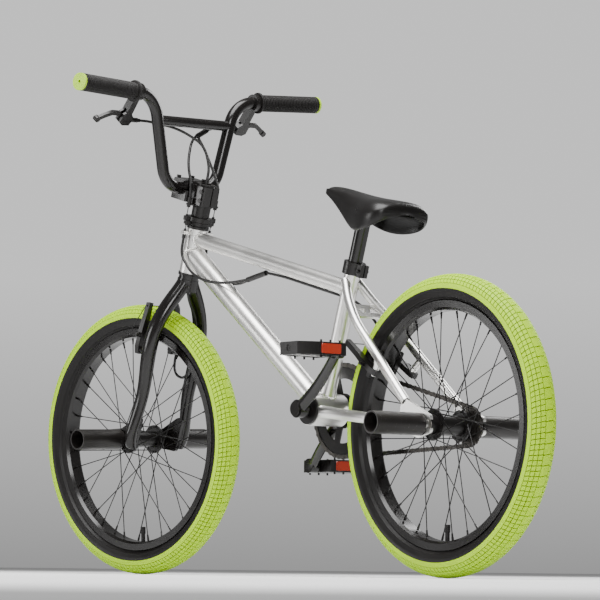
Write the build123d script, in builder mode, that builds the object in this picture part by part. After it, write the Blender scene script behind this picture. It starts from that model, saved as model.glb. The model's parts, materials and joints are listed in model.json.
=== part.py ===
from build123d import *
import os
from math import acos, atan2, cos, hypot, pi, radians, sin, tan

# A freestyle bmx bike standing on its two wheels, in millimetres.
# +X points forward, +Y to the rider's left and +Z up. The origin is on the ground, midway
# between the axles, in the middle plane of the frame. The bars and front wheel are turned
# a little to the left.

# ---------------------------------------------------------------- driving dimensions
TYRE_RADIUS = 254.0            # 20 inch wheel
TYRE_HALF_WIDTH = 26.6
TYRE_HALF_HEIGHT = 24.5
TYRE_WALL = 3.5
RIM_INNER_RADIUS = 193.0
RIM_OUTER_RADIUS = 208.6
RIM_HALF_WIDTH = 17.0
RIM_WALL = 2.5
SPOKE_COUNT = 36
SPOKE_RADIUS = 0.95

WHEELBASE = 888.0
HEAD_ANGLE = 73.0
FORK_OFFSET = 44.0             # from the steering axis to the front axle
STEER_ANGLE = 8.0
SEAT_ANGLE = 72.0

BRACKET_X = -108.0             # bottom bracket centre
BRACKET_Z = 291.0
BRACKET_SHELL_RADIUS = 28.5
BRACKET_BORE_RADIUS = 25.6
BRACKET_HALF_WIDTH = 34.0
CRANK_LENGTH = 168.0
CRANK_ANGLE = 146.5            # left arm, from +X towards +Z

HEAD_TUBE_RADIUS = 19.0
HEAD_TUBE_BORE = 17.0
HEAD_TUBE_BOTTOM = 334.0       # heights along the steering axis, from the front axle's foot
HEAD_TUBE_TOP = 418.0
TOP_TUBE_RADIUS = 13.75
TOP_TUBE_HEAD_HEIGHT = 399.4
TOP_TUBE_SEAT_Z = 500.0
DOWN_TUBE_RADIUS = 19.0
DOWN_TUBE_HEAD_HEIGHT = 371.0
TUBE_WALL = 1.6
STAY_WALL = 1.2
SEAT_TUBE_RADIUS = 14.3
SEAT_TUBE_BORE = 12.75
SEAT_TUBE_LENGTH = 252.0       # from the bottom bracket centre to its open top
SEAT_POST_RADIUS = 12.7
SADDLE_PIVOT_LENGTH = 346.0    # along the seat tube's line, from the bottom bracket centre
SADDLE_TILT = 12.0

FRONT_HUB_HALF = 50.0
REAR_HUB_HALF = 55.0
DROPOUT_THICKNESS = 6.0
FRONT_AXLE_RADIUS = 5.0
REAR_AXLE_RADIUS = 7.0
PEG_RADIUS = 19.0
PEG_WALL = 2.5
PEG_LENGTH = 103.0
DRAIN_RADIUS = 3.5
DRAIN_SHARE = 0.4              # of a peg's length, from its inner end
WASHER = 2.0

CHAIN_PITCH = 12.7
CHAIN_LINE = 43.0              # how far right of the middle plane the chain runs
CHAINRING_TEETH = 40
FREEWHEEL_TEETH = 16
ROLLER_RADIUS = 3.9

BAR_RADIUS = 11.1
BAR_HEIGHT = 485.0             # of the clamp, along the steering axis
BAR_REACH = 42.0
BAR_LEAN = 10.0                # forward of the steering axis
GRIP_RADIUS = 16.0
GRIP_INNER = 160.0
GRIP_OUTER = 299.0
CROSSBAR_RADIUS = 9.5
STEERER_RADIUS = 14.3

BRAKE_PIVOT_RADIUS = 173.0     # from the axle
BRAKE_PIVOT_HALF = 41.0        # from the wheel's middle plane
BRAKE_PAD_RADIUS = 201.0
BRAKE_TOP_RADIUS = 276.0
FRONT_BRAKE_TOP_RADIUS = 262.0
BRAKE_STUD_RADIUS = 4.0
BRAKE_BOSS_RADIUS = 6.0
ARM_HALF_THICKNESS = 5.0
REAR_BRAKE_ANGLE = 33.0        # above horizontal, forward of the rear axle
FRONT_BRAKE_ANGLE = 2.5        # forward of the steering axis
CABLE_RADIUS = 2.5
WIRE_RADIUS = 0.8

LEVER_PERCH = 151.0            # from the bar's middle to the lever clamp
LEVER_DROP = 66.0              # reach direction, below horizontal in the steering frame
LEVER_PIVOT_REACH = 56.0
LEVER_PIVOT_OUT = 4.0

RUN = 0.05                     # radial running clearance of a pin in its hole
GAP = 0.3                      # clearance between bodies that pass each other

# ---------------------------------------------------------------- frames of reference
REAR_AXLE = Vector(-WHEELBASE / 2, 0, TYRE_RADIUS)
BRACKET = Vector(BRACKET_X, 0, BRACKET_Z)
head_cos, head_sin = cos(radians(HEAD_ANGLE)), sin(radians(HEAD_ANGLE))
STEERING_UP = Vector(-head_cos, 0, head_sin)
HEAD_FORWARD = Vector(head_sin, 0, head_cos)
STEERING_FOOT = Vector(WHEELBASE / 2, 0, TYRE_RADIUS) - HEAD_FORWARD * FORK_OFFSET
SEAT_UP = Vector(-cos(radians(SEAT_ANGLE)), 0, sin(radians(SEAT_ANGLE)))

# Pieces of the head are drawn with Z up the steering axis and X forward, and so are the pieces
# that steer, whose frame is turned to the left.
HEAD = Plane(origin=STEERING_FOOT, x_dir=HEAD_FORWARD, z_dir=STEERING_UP)
STEERED_FORWARD = HEAD_FORWARD.rotate(Axis((0, 0, 0), STEERING_UP), STEER_ANGLE)
STEERING = Plane(origin=STEERING_FOOT, x_dir=STEERED_FORWARD, z_dir=STEERING_UP)
HEAD_PLACE = HEAD.location
STEERING_PLACE = STEERING.location
# The wheels are drawn about the Y axis, round their own axle.
REAR_WHEEL_PLACE = Location(REAR_AXLE)
FRONT_WHEEL_PLACE = STEERING_PLACE * Location((FORK_OFFSET, 0, 0), (0, 90 - HEAD_ANGLE, 0))
CRANK_PLACE = Location(BRACKET)
# Seat parts are drawn with Z up the seat tube from the bottom bracket.
SEAT = Plane(origin=BRACKET, x_dir=(sin(radians(SEAT_ANGLE)), 0, cos(radians(SEAT_ANGLE))), z_dir=SEAT_UP)
SEAT_PLACE = SEAT.location
SADDLE_PLACE = Location(BRACKET + SEAT_UP * SADDLE_PIVOT_LENGTH) * Location((0, 0, 0), (0, -SADDLE_TILT, 0))

# Brake frames: X out from the axle, Y to the left and Z towards the tubes that carry the studs.
front_lean, rear_lean = radians(FRONT_BRAKE_ANGLE), radians(REAR_BRAKE_ANGLE)
FRONT_BRAKE = Plane(origin=(FORK_OFFSET, 0, 0), x_dir=(sin(front_lean), 0, cos(front_lean)),
                    z_dir=(-cos(front_lean), 0, sin(front_lean)))
REAR_BRAKE = Plane(origin=REAR_AXLE, x_dir=(cos(rear_lean), 0, sin(rear_lean)),
                   z_dir=(-sin(rear_lean), 0, cos(rear_lean)))

os.makedirs("parts", exist_ok=True)


def finish(piece, name, place=None):
    """Stand a finished piece in its place, label it and write it."""
    if place is not None:
        piece.part.locate(place)
    piece.part.label = name
    export_step(piece.part, f"parts/{name}.step")


def rod(start, end, radius, mode=Mode.ADD):
    """A straight round bar between two points, inside the current part."""
    start, end = Vector(start), Vector(end)
    with BuildSketch(Plane(origin=start, z_dir=end - start)) as section:
        Circle(radius)
    extrude(section.sketch, amount=(end - start).length, mode=mode)


def bend_radii(points, share=0.45):
    """The largest arcs that a route's runs allow, one for each corner between its ends."""
    radii = []
    for before, here, after in zip(points, points[1:], points[2:]):
        run_in, run_out = Vector(here) - Vector(before), Vector(after) - Vector(here)
        turn = radians(run_in.get_angle(run_out))
        radii.append(share * min(run_in.length, run_out.length) / tan(turn / 2))
    return radii


def routed_tube(points, radius, bore=0.0, radii=None, label="", mode=Mode.ADD):
    """A cable or bent tube along straight runs joined by tangent arcs."""
    radii = radii or bend_radii(points)
    with BuildLine() as route:
        FilletPolyline(*points, radius=radii)
    start = route.line @ 0
    heading = route.line % 0
    with BuildSketch(Plane(origin=start, z_dir=heading)) as section:
        Circle(radius)
        if bore:
            Circle(bore, mode=Mode.SUBTRACT)
    tube = sweep(sections=section.sketch, path=route.line, mode=Mode.PRIVATE)
    add(tube, mode=mode)
    if label:
        length = sum(edge.length for edge in route.edges())
        ratio = tube.volume / (section.sketch.area * length)
        print(f"{label}: length {length:.0f}, bend radii {[round(r) for r in radii]}, volume ratio {ratio:.4f}")


def sprocket(teeth, pitch_radius):
    """Sketch of a chain wheel's toothed outline."""
    with BuildSketch(Plane.XZ) as outline:
        Circle(pitch_radius + 4.2)
        with PolarLocations(pitch_radius, teeth, start_angle=180 / teeth):
            Circle(ROLLER_RADIUS, mode=Mode.SUBTRACT)
        with PolarLocations(pitch_radius + 5.0, teeth, start_angle=180 / teeth):
            Rectangle(10.0, 7.0, mode=Mode.SUBTRACT)
    return outline


def brake_stud(brake, side, root):
    """A boss from a tube to the brake's pivot, and the pivot pin that the arm turns on."""
    foot, tip = ARM_HALF_THICKNESS + GAP, -ARM_HALF_THICKNESS - 3
    base = brake.from_local_coords((BRAKE_PIVOT_RADIUS, side * BRAKE_PIVOT_HALF, foot))
    middle = brake.from_local_coords((BRAKE_PIVOT_RADIUS, side * BRAKE_PIVOT_HALF, foot + 6))
    end = brake.from_local_coords((BRAKE_PIVOT_RADIUS, side * BRAKE_PIVOT_HALF, tip))
    rod(middle, base, BRAKE_BOSS_RADIUS)
    rod(root, middle, BRAKE_BOSS_RADIUS)
    rod(base, end, BRAKE_STUD_RADIUS)


# ---------------------------------------------------------------- frame tubes
top_tube_head = HEAD.from_local_coords((0, 0, TOP_TUBE_HEAD_HEIGHT))
down_tube_head = HEAD.from_local_coords((0, 0, DOWN_TUBE_HEAD_HEIGHT))
top_tube_seat = BRACKET + SEAT_UP * ((TOP_TUBE_SEAT_Z - BRACKET_Z) / SEAT_UP.Z)
head_low = HEAD.from_local_coords((0, 0, HEAD_TUBE_BOTTOM - 40))
head_high = HEAD.from_local_coords((0, 0, HEAD_TUBE_TOP + 40))
bracket_left = BRACKET + Vector(0, BRACKET_HALF_WIDTH + 10, 0)
bracket_right = BRACKET - Vector(0, BRACKET_HALF_WIDTH + 10, 0)
seat_tube_top = BRACKET + SEAT_UP * SEAT_TUBE_LENGTH

with BuildPart() as head_tube:
    with BuildSketch(Plane.XY.offset(HEAD_TUBE_BOTTOM)):
        Circle(HEAD_TUBE_RADIUS)
    extrude(amount=HEAD_TUBE_TOP - HEAD_TUBE_BOTTOM)
    for side in (1, -1):
        # threaded stop for a lower gyro cable
        with BuildSketch(Plane.XY.offset(HEAD_TUBE_TOP - 12)):
            with Locations((0, side * 25)):
                Rectangle(10, 16)
        extrude(amount=6)
    with BuildSketch(Plane.XY.offset(HEAD_TUBE_BOTTOM)):
        Circle(HEAD_TUBE_BORE)
    extrude(amount=HEAD_TUBE_TOP - HEAD_TUBE_BOTTOM, mode=Mode.SUBTRACT)
    with BuildSketch(Plane.XY.offset(HEAD_TUBE_TOP - 13)):
        with Locations((0, 28), (0, -28)):
            Circle(2.6)
    extrude(amount=8, mode=Mode.SUBTRACT)
finish(head_tube, "head_tube", HEAD_PLACE)

with BuildPart() as top_tube:
    rod(top_tube_head, top_tube_seat, TOP_TUBE_RADIUS)
    rod(top_tube_head, top_tube_seat, TOP_TUBE_RADIUS - TUBE_WALL, Mode.SUBTRACT)
    rod(head_low, head_high, HEAD_TUBE_RADIUS, Mode.SUBTRACT)
    rod(BRACKET, seat_tube_top, SEAT_TUBE_RADIUS, Mode.SUBTRACT)
finish(top_tube, "top_tube")

with BuildPart() as down_tube:
    rod(down_tube_head, BRACKET, DOWN_TUBE_RADIUS)
    rod(down_tube_head, BRACKET, DOWN_TUBE_RADIUS - TUBE_WALL, Mode.SUBTRACT)
    rod(head_low, head_high, HEAD_TUBE_RADIUS, Mode.SUBTRACT)
    rod(top_tube_head, top_tube_seat, TOP_TUBE_RADIUS, Mode.SUBTRACT)
    rod(bracket_left, bracket_right, BRACKET_SHELL_RADIUS, Mode.SUBTRACT)
finish(down_tube, "down_tube")

with BuildPart() as seat_tube:
    rod(BRACKET, seat_tube_top, SEAT_TUBE_RADIUS)
    rod(BRACKET, seat_tube_top + SEAT_UP, SEAT_TUBE_BORE, Mode.SUBTRACT)
    rod(bracket_left, bracket_right, BRACKET_SHELL_RADIUS, Mode.SUBTRACT)
    rod(down_tube_head, BRACKET, DOWN_TUBE_RADIUS, Mode.SUBTRACT)
finish(seat_tube, "seat_tube")

with BuildPart() as bottom_bracket_shell:
    rod(BRACKET + Vector(0, BRACKET_HALF_WIDTH, 0), BRACKET - Vector(0, BRACKET_HALF_WIDTH, 0),
        BRACKET_SHELL_RADIUS)
    rod(bracket_left, bracket_right, BRACKET_BORE_RADIUS, Mode.SUBTRACT)
finish(bottom_bracket_shell, "bottom_bracket_shell")

# Chain stays: tall oval tubes at the bracket that slip between tyre and chainring, then round.
CHAIN_STAY_STATIONS = (
    # x, y, z, half width, half height
    (BRACKET_X - 10, 27.0, 288.0, 7.0, 11.0),
    (-165.0, 29.0, 283.0, 7.0, 10.5),
    (-200.0, 33.5, 279.0, 7.0, 10.0),
    (-240.0, 44.0, 275.0, 7.5, 10.0),
    (-320.0, 52.0, 266.0, 7.5, 9.0),
    (-412.0, 57.5, 256.5, 6.5, 8.0),
)
# Seat stays: an S from the back of the seat tube, wide past the tyre, down to the dropouts.
SEAT_STAY_POINTS = (
    (-181.0, 13.0, 513.0),
    (-207.0, 27.0, 477.0),
    (-246.0, 42.0, 437.0),
    (-402.0, 57.5, 293.0),
)
SEAT_STAY_RADIUS = 8.0


def stay_section(station, side, wall=0.0):
    """One oval section of a chain stay."""
    x, y, z, half_width, half_height = station
    with BuildSketch(Plane(origin=(x, side * y, z), x_dir=(0, 1, 0), z_dir=(-1, 0, 0))) as oval:
        Ellipse(half_width - wall, half_height - wall)
    return oval.sketch


with BuildPart() as chain_stays:
    for side in (1, -1):
        loft(sections=[stay_section(station, side) for station in CHAIN_STAY_STATIONS])
    for side in (1, -1):
        loft(sections=[stay_section(station, side, STAY_WALL) for station in CHAIN_STAY_STATIONS],
             mode=Mode.SUBTRACT)
    rod(bracket_left, bracket_right, BRACKET_SHELL_RADIUS, Mode.SUBTRACT)
finish(chain_stays, "chain_stays")

with BuildPart() as seat_stays:
    for side in (1, -1):
        points = [(x, side * y, z) for x, y, z in SEAT_STAY_POINTS]
        routed_tube(points, SEAT_STAY_RADIUS, SEAT_STAY_RADIUS - STAY_WALL)
        stay_point = REAR_BRAKE.from_local_coords((BRAKE_PIVOT_RADIUS, side * (BRAKE_PIVOT_HALF + 5), 24))
        brake_stud(REAR_BRAKE, side, stay_point)
    rod(BRACKET, seat_tube_top, SEAT_TUBE_RADIUS, Mode.SUBTRACT)
finish(seat_stays, "seat_stays")

# Rear dropouts: plates inside the stay ends with a slot open to the rear for the axle.
DROPOUT_OUTLINE = ((-436, 232), (-405, 243), (-392, 262), (-392, 286), (-405, 298), (-436, 284),
                   (-470, 268), (-470, 240))
with BuildPart() as rear_dropouts:
    for side in (1, -1):
        inner = REAR_HUB_HALF if side > 0 else -REAR_HUB_HALF - DROPOUT_THICKNESS
        with BuildSketch(Plane.XZ.offset(-inner - DROPOUT_THICKNESS)) as plate:
            with BuildLine():
                Polyline(*DROPOUT_OUTLINE, close=True)
            make_face()
            fillet(plate.vertices(), radius=6)
            with Locations((REAR_AXLE.X, REAR_AXLE.Z)):
                Circle(REAR_AXLE_RADIUS + RUN, mode=Mode.SUBTRACT)
                with Locations((-15, 0)):
                    Rectangle(30, 2 * (REAR_AXLE_RADIUS + RUN), mode=Mode.SUBTRACT)
        extrude(plate.sketch, amount=DROPOUT_THICKNESS)
    add(chain_stays.part, mode=Mode.SUBTRACT)
    add(seat_stays.part, mode=Mode.SUBTRACT)
finish(rear_dropouts, "rear_dropouts")

# A pierced plate ties the seat stays together above the tyre.
bridge_low, bridge_high = Vector(-236, 0, 447), Vector(-214, 0, 467)
bridge_plane = Plane(origin=(bridge_low + bridge_high) / 2, x_dir=(0, 1, 0),
                     z_dir=Vector(0, 1, 0).cross(bridge_high - bridge_low))
with BuildPart() as stay_bridge:
    with BuildSketch(bridge_plane) as plate:
        Trapezoid(72, 34, 78)
        for side in (1, -1):
            with Locations((side * 11, 0)):
                Triangle(a=17, b=17, c=17, rotation=90 - side * 30, mode=Mode.SUBTRACT)
    extrude(plate.sketch, amount=2, both=True)
    for side in (1, -1):
        points = [(x, side * y, z) for x, y, z in SEAT_STAY_POINTS]
        routed_tube(points, SEAT_STAY_RADIUS, mode=Mode.SUBTRACT)
finish(stay_bridge, "stay_bridge")

# ---------------------------------------------------------------- headset, seat clamp, bearings
CUP_LIP = 5.0
CUP_SKIRT = 12.0
with BuildPart() as headset_cups:
    for height, lip in ((HEAD_TUBE_BOTTOM, -CUP_LIP), (HEAD_TUBE_TOP, CUP_LIP)):
        with BuildSketch(Plane.XY.offset(height)) as section:
            Circle(HEAD_TUBE_RADIUS + 1.5)
            Circle(STEERER_RADIUS + RUN, mode=Mode.SUBTRACT)
        extrude(section.sketch, amount=lip)
        with BuildSketch(Plane.XY.offset(height)) as section:
            Circle(HEAD_TUBE_BORE)
            Circle(STEERER_RADIUS + RUN, mode=Mode.SUBTRACT)
        extrude(section.sketch, amount=-CUP_SKIRT if lip > 0 else CUP_SKIRT)
finish(headset_cups, "headset_cups", HEAD_PLACE)

CLAMP_HEIGHT = 22.0
with BuildPart() as seat_clamp:
    with BuildSketch(Plane.XY.offset(SEAT_TUBE_LENGTH - 6)) as collar:
        Circle(SEAT_TUBE_RADIUS + 5)
        with Locations((-SEAT_TUBE_RADIUS - 8, 0)):
            Rectangle(16, 17)
    extrude(collar.sketch, amount=CLAMP_HEIGHT)
    with BuildSketch(Plane.XY.offset(SEAT_TUBE_LENGTH - 6)) as bore:
        Circle(SEAT_TUBE_RADIUS)
    extrude(bore.sketch, amount=6, mode=Mode.SUBTRACT)
    with BuildSketch(Plane.XY.offset(SEAT_TUBE_LENGTH)) as bore:
        Circle(SEAT_TUBE_BORE)
    extrude(bore.sketch, amount=CLAMP_HEIGHT, mode=Mode.SUBTRACT)
    with BuildSketch(Plane.XY.offset(SEAT_TUBE_LENGTH - 6)) as slit:
        with Locations((-SEAT_TUBE_RADIUS - 10, 0)):
            Rectangle(24, 2)
    extrude(slit.sketch, amount=CLAMP_HEIGHT, mode=Mode.SUBTRACT)
    rod((-SEAT_TUBE_RADIUS - 10, 12, SEAT_TUBE_LENGTH + 5), (-SEAT_TUBE_RADIUS - 10, -12, SEAT_TUBE_LENGTH + 5), 3)
finish(seat_clamp, "seat_clamp", SEAT_PLACE)

BRACKET_CUP_FLANGE = 4.0
SPINDLE_RADIUS = 9.5
with BuildPart() as bottom_bracket_cups:
    for side in (1, -1):
        rod((0, side * 20, 0), (0, side * BRACKET_HALF_WIDTH, 0), BRACKET_BORE_RADIUS)
        rod((0, side * BRACKET_HALF_WIDTH, 0), (0, side * (BRACKET_HALF_WIDTH + BRACKET_CUP_FLANGE), 0), 26.5)
    rod((0, 60, 0), (0, -60, 0), SPINDLE_RADIUS + RUN, Mode.SUBTRACT)
finish(bottom_bracket_cups, "bottom_bracket_cups", CRANK_PLACE)


# ---------------------------------------------------------------- axles and pegs
def axle(hub_half, radius):
    """A solid axle with a cone each side of the hub and the nuts inside the pegs."""
    face = hub_half + DROPOUT_THICKNESS + WASHER
    nut_height, nut_width = 8.0, radius + 4.5
    reach = face + PEG_FLOOR + nut_height + 4
    rod((0, reach, 0), (0, -reach, 0), radius)
    for side in (1, -1):
        rod((0, side * (hub_half - 6), 0), (0, side * hub_half, 0), radius + 3)
        rod((0, side * (hub_half + DROPOUT_THICKNESS), 0), (0, side * face, 0), radius + 6)
        with BuildSketch(Plane(origin=(0, side * (face + PEG_FLOOR), 0), z_dir=(0, side, 0))) as nut:
            RegularPolygon(nut_width, 6, major_radius=False)
        extrude(nut.sketch, amount=nut_height)


def pegs(hub_half, radius):
    """Two foot pegs: tubes with a floor that the axle passes through, and a drain hole below."""
    face = hub_half + DROPOUT_THICKNESS + WASHER
    for side in (1, -1):
        rod((0, side * face, 0), (0, side * (face + PEG_LENGTH), 0), PEG_RADIUS)
        rod((0, side * (face + PEG_FLOOR), 0), (0, side * (face + PEG_LENGTH), 0), PEG_RADIUS - PEG_WALL,
            Mode.SUBTRACT)
        rod((0, side * face, 0), (0, side * (face + PEG_FLOOR), 0), radius, Mode.SUBTRACT)
        drain = side * (face + DRAIN_SHARE * PEG_LENGTH)
        rod((0, drain, 0), (0, drain, -PEG_RADIUS - 1), DRAIN_RADIUS, Mode.SUBTRACT)


PEG_FLOOR = 7.0
with BuildPart() as rear_axle:
    axle(REAR_HUB_HALF, REAR_AXLE_RADIUS)
finish(rear_axle, "rear_axle", REAR_WHEEL_PLACE)
with BuildPart() as rear_pegs:
    pegs(REAR_HUB_HALF, REAR_AXLE_RADIUS)
finish(rear_pegs, "rear_pegs", REAR_WHEEL_PLACE)
with BuildPart() as front_axle:
    axle(FRONT_HUB_HALF, FRONT_AXLE_RADIUS)
finish(front_axle, "front_axle", FRONT_WHEEL_PLACE)
with BuildPart() as front_pegs:
    pegs(FRONT_HUB_HALF, FRONT_AXLE_RADIUS)
finish(front_pegs, "front_pegs", FRONT_WHEEL_PLACE)


# ---------------------------------------------------------------- wheels
def wheel(prefix, place, hub_half, axle_radius, flanges, end_radius):
    """Tyre, inner tube with its valve, rim, spokes, hub and bearings about the Y axis.

    flanges holds the left and right flange's middle, and end_radius is that of the hub's ends,
    where a freewheel screws on.
    """
    section_radius = TYRE_RADIUS - TYRE_HALF_HEIGHT
    bead_inner = RIM_HALF_WIDTH - RIM_WALL - 3.2
    bead_outer = RIM_HALF_WIDTH - RIM_WALL - 0.1
    with BuildPart() as tyre:
        with BuildSketch(Plane.XY) as section:
            with Locations((section_radius, 0)):
                Ellipse(TYRE_HALF_HEIGHT, TYRE_HALF_WIDTH)
            with Locations((RIM_OUTER_RADIUS - 3, 0)):
                Rectangle(8, 2 * bead_outer)
            with Locations((section_radius, 0)):
                Ellipse(TYRE_HALF_HEIGHT - TYRE_WALL, TYRE_HALF_WIDTH - TYRE_WALL, mode=Mode.SUBTRACT)
            with Locations((RIM_OUTER_RADIUS - 4, 0)):
                Rectangle(20, 2 * bead_inner, mode=Mode.SUBTRACT)
        revolve(section.sketch, axis=Axis.Y)
    finish(tyre, f"{prefix}_tyre", place)

    with BuildPart() as rim:
        with BuildSketch(Plane.XY) as section:
            with BuildLine():
                Polyline((RIM_OUTER_RADIUS, RIM_HALF_WIDTH), (197, RIM_HALF_WIDTH), (RIM_INNER_RADIUS, 12),
                         (RIM_INNER_RADIUS, -12), (197, -RIM_HALF_WIDTH), (RIM_OUTER_RADIUS, -RIM_HALF_WIDTH),
                         (RIM_OUTER_RADIUS, RIM_WALL - RIM_HALF_WIDTH), (198.5, RIM_WALL - RIM_HALF_WIDTH),
                         (195.5, -11), (195.5, 11), (198.5, RIM_HALF_WIDTH - RIM_WALL),
                         (RIM_OUTER_RADIUS, RIM_HALF_WIDTH - RIM_WALL), close=True)
            make_face()
        revolve(section.sketch, axis=Axis.Y)
        rod((0, 0, -RIM_INNER_RADIUS + 10), (0, 0, -RIM_OUTER_RADIUS), VALVE_RADIUS + 0.2, Mode.SUBTRACT)
    finish(rim, f"{prefix}_rim", place)

    with BuildPart() as inner_tube:
        with BuildSketch(Plane.XY) as section:
            with Locations((section_radius, 0)):
                Ellipse(TYRE_HALF_HEIGHT - TYRE_WALL - 1, TYRE_HALF_WIDTH - TYRE_WALL - 1)
        revolve(section.sketch, axis=Axis.Y)
        with BuildSketch(Plane.XY) as air:
            with Locations((section_radius, 0)):
                Ellipse(TYRE_HALF_HEIGHT - TYRE_WALL - 2.5, TYRE_HALF_WIDTH - TYRE_WALL - 2.5)
        revolve(air.sketch, axis=Axis.Y, mode=Mode.SUBTRACT)
        rod((0, 0, -VALVE_TIP), (0, 0, -RIM_OUTER_RADIUS - 1.5), VALVE_RADIUS)
        rod((0, 0, -VALVE_TIP), (0, 0, -VALVE_TIP - 13), VALVE_RADIUS + 0.9)
    finish(inner_tube, f"{prefix}_inner_tube", place)

    with BuildPart() as spokes:
        for index in range(SPOKE_COUNT):
            side = 0 if index % 2 == 0 else 1
            leading = 1 if (index // 2) % 2 == 0 else -1
            rim_angle = radians(index * 360 / SPOKE_COUNT + 5)
            hub_angle = rim_angle + leading * radians(60)
            outward = 1 if side == 0 else -1
            hub_y = flanges[side] + outward * (3.9 if leading > 0 else -2.8)
            start = Vector(HUB_HOLE_RADIUS * cos(hub_angle), hub_y, HUB_HOLE_RADIUS * sin(hub_angle))
            rim_seat = RIM_INNER_RADIUS - 0.9
            end = Vector(rim_seat * cos(rim_angle), outward * 2.5, rim_seat * sin(rim_angle))
            rod(start, end, SPOKE_RADIUS)
            heading = (start - end).normalized()
            rod(end, end + heading * 12, 2.0)
    finish(spokes, f"{prefix}_spokes", place)

    with BuildPart() as hub:
        for flange in flanges:
            rod((0, flange - 1.5, 0), (0, flange + 1.5, 0), HUB_HOLE_RADIUS + 4)
        rod((0, flanges[0], 0), (0, flanges[1], 0), 15)
        rod((0, hub_half - 8, 0), (0, 8 - hub_half, 0), end_radius)
        rod((0, hub_half, 0), (0, -hub_half, 0), axle_radius + 3.5, Mode.SUBTRACT)
        for side in (1, -1):
            rod((0, side * (hub_half - 8), 0), (0, side * (hub_half - 16), 0), BEARING_RADIUS, Mode.SUBTRACT)
    finish(hub, f"{prefix}_hub", place)

    with BuildPart() as bearings:
        for side in (1, -1):
            rod((0, side * (hub_half - 8), 0), (0, side * (hub_half - 16), 0), BEARING_RADIUS)
        rod((0, hub_half, 0), (0, -hub_half, 0), axle_radius + RUN, Mode.SUBTRACT)
    finish(bearings, f"{prefix}_hub_bearings", place)


VALVE_RADIUS = 3.9
VALVE_TIP = 165.0
HUB_HOLE_RADIUS = 22.5
BEARING_RADIUS = 13.0
BOSS_RADIUS = 17.3
wheel("front", FRONT_WHEEL_PLACE, FRONT_HUB_HALF, FRONT_AXLE_RADIUS, (32.0, -32.0), 15.0)
wheel("rear", REAR_WHEEL_PLACE, REAR_HUB_HALF, REAR_AXLE_RADIUS, (32.0, -26.0), BOSS_RADIUS)

# ---------------------------------------------------------------- drive
chainring_pitch_radius = CHAIN_PITCH / (2 * sin(pi / CHAINRING_TEETH))
freewheel_pitch_radius = CHAIN_PITCH / (2 * sin(pi / FREEWHEEL_TEETH))

with BuildPart() as chainring:
    outline = sprocket(CHAINRING_TEETH, chainring_pitch_radius)
    with BuildSketch(Plane.XZ) as windows:
        Circle(57)
        Circle(31, mode=Mode.SUBTRACT)
        with PolarLocations(44, 5):
            Rectangle(40, 15, mode=Mode.SUBTRACT)
    extrude(outline.sketch, amount=1.2, both=True)
    extrude(windows.sketch, amount=2, both=True, mode=Mode.SUBTRACT)
    rod((0, 2.5, 0), (0, -2.5, 0), 27)
    rod((0, 4, 0), (0, -4, 0), SPINDLE_RADIUS, Mode.SUBTRACT)
finish(chainring, "chainring", CRANK_PLACE * Location((0, -CHAIN_LINE, 0)))

with BuildPart() as freewheel:
    outline = sprocket(FREEWHEEL_TEETH, freewheel_pitch_radius)
    extrude(outline.sketch, amount=1.2, both=True)
    rod((0, 4.5, 0), (0, -5.5, 0), 26)
    rod((0, 6, 0), (0, -7, 0), BOSS_RADIUS + RUN, Mode.SUBTRACT)
finish(freewheel, "freewheel", REAR_WHEEL_PLACE * Location((0, -CHAIN_LINE, 0)))

PLATE_HALF_HEIGHT = 4.3
PLATE_THICKNESS = 1.0
PLATE_GAP = 1.9                # from the chain's middle to its side plates


def belt(grow):
    """Sketch of the region inside a belt round both sprockets, grown from their pitch circles."""
    big, small = chainring_pitch_radius + grow, freewheel_pitch_radius + grow
    run = BRACKET - REAR_AXLE
    span = hypot(run.X, run.Z)
    tilt = atan2(run.Z, run.X)
    half = acos((big - small) / span)
    corners = []
    for centre, radius, sign in ((BRACKET, big, 1), (REAR_AXLE, small, 1), (REAR_AXLE, small, -1), (BRACKET, big, -1)):
        angle = tilt + sign * (pi - half)
        corners.append((centre.X + radius * cos(angle), centre.Z + radius * sin(angle)))
    with BuildSketch(Plane.XZ) as region:
        with Locations((BRACKET.X, BRACKET.Z)):
            Circle(big)
        with Locations((REAR_AXLE.X, REAR_AXLE.Z)):
            Circle(small)
        with BuildLine():
            Polyline(*corners, close=True)
        make_face()
    return region, corners


with BuildPart() as chain:
    outside = belt(PLATE_HALF_HEIGHT)[0]
    inside = belt(-PLATE_HALF_HEIGHT)[0]
    pitch_corners = belt(0.0)[1]
    for side in (1, -1):
        edge = CHAIN_LINE + (PLATE_GAP if side > 0 else -PLATE_GAP - PLATE_THICKNESS)
        with BuildSketch(Plane.XZ.offset(edge)) as plates:
            add(outside.sketch.moved(Location((0, -edge, 0))))
            add(inside.sketch.moved(Location((0, -edge, 0))), mode=Mode.SUBTRACT)
        extrude(plates.sketch, amount=PLATE_THICKNESS)
    for first, last in ((pitch_corners[0], pitch_corners[1]), (pitch_corners[3], pitch_corners[2])):
        length = hypot(last[0] - first[0], last[1] - first[1])
        count = int(length / CHAIN_PITCH) - 1
        for index in range(3, count - 1):
            share = index / (count + 1)
            x = first[0] + (last[0] - first[0]) * share
            z = first[1] + (last[1] - first[1]) * share
            rod((x, -CHAIN_LINE + PLATE_GAP + 0.5, z), (x, -CHAIN_LINE - PLATE_GAP - 0.5, z), ROLLER_RADIUS)
finish(chain, "chain")

ARM_INNER, ARM_OUTER = 42.0, 62.0
PEDAL_FACE = 90.0
with BuildPart() as crank_spindle:
    rod((0, ARM_OUTER, 0), (0, -ARM_OUTER, 0), SPINDLE_RADIUS)
    rod((0, ARM_OUTER, 0), (0, -ARM_OUTER, 0), 5, Mode.SUBTRACT)
finish(crank_spindle, "crank_spindle", CRANK_PLACE)

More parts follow.
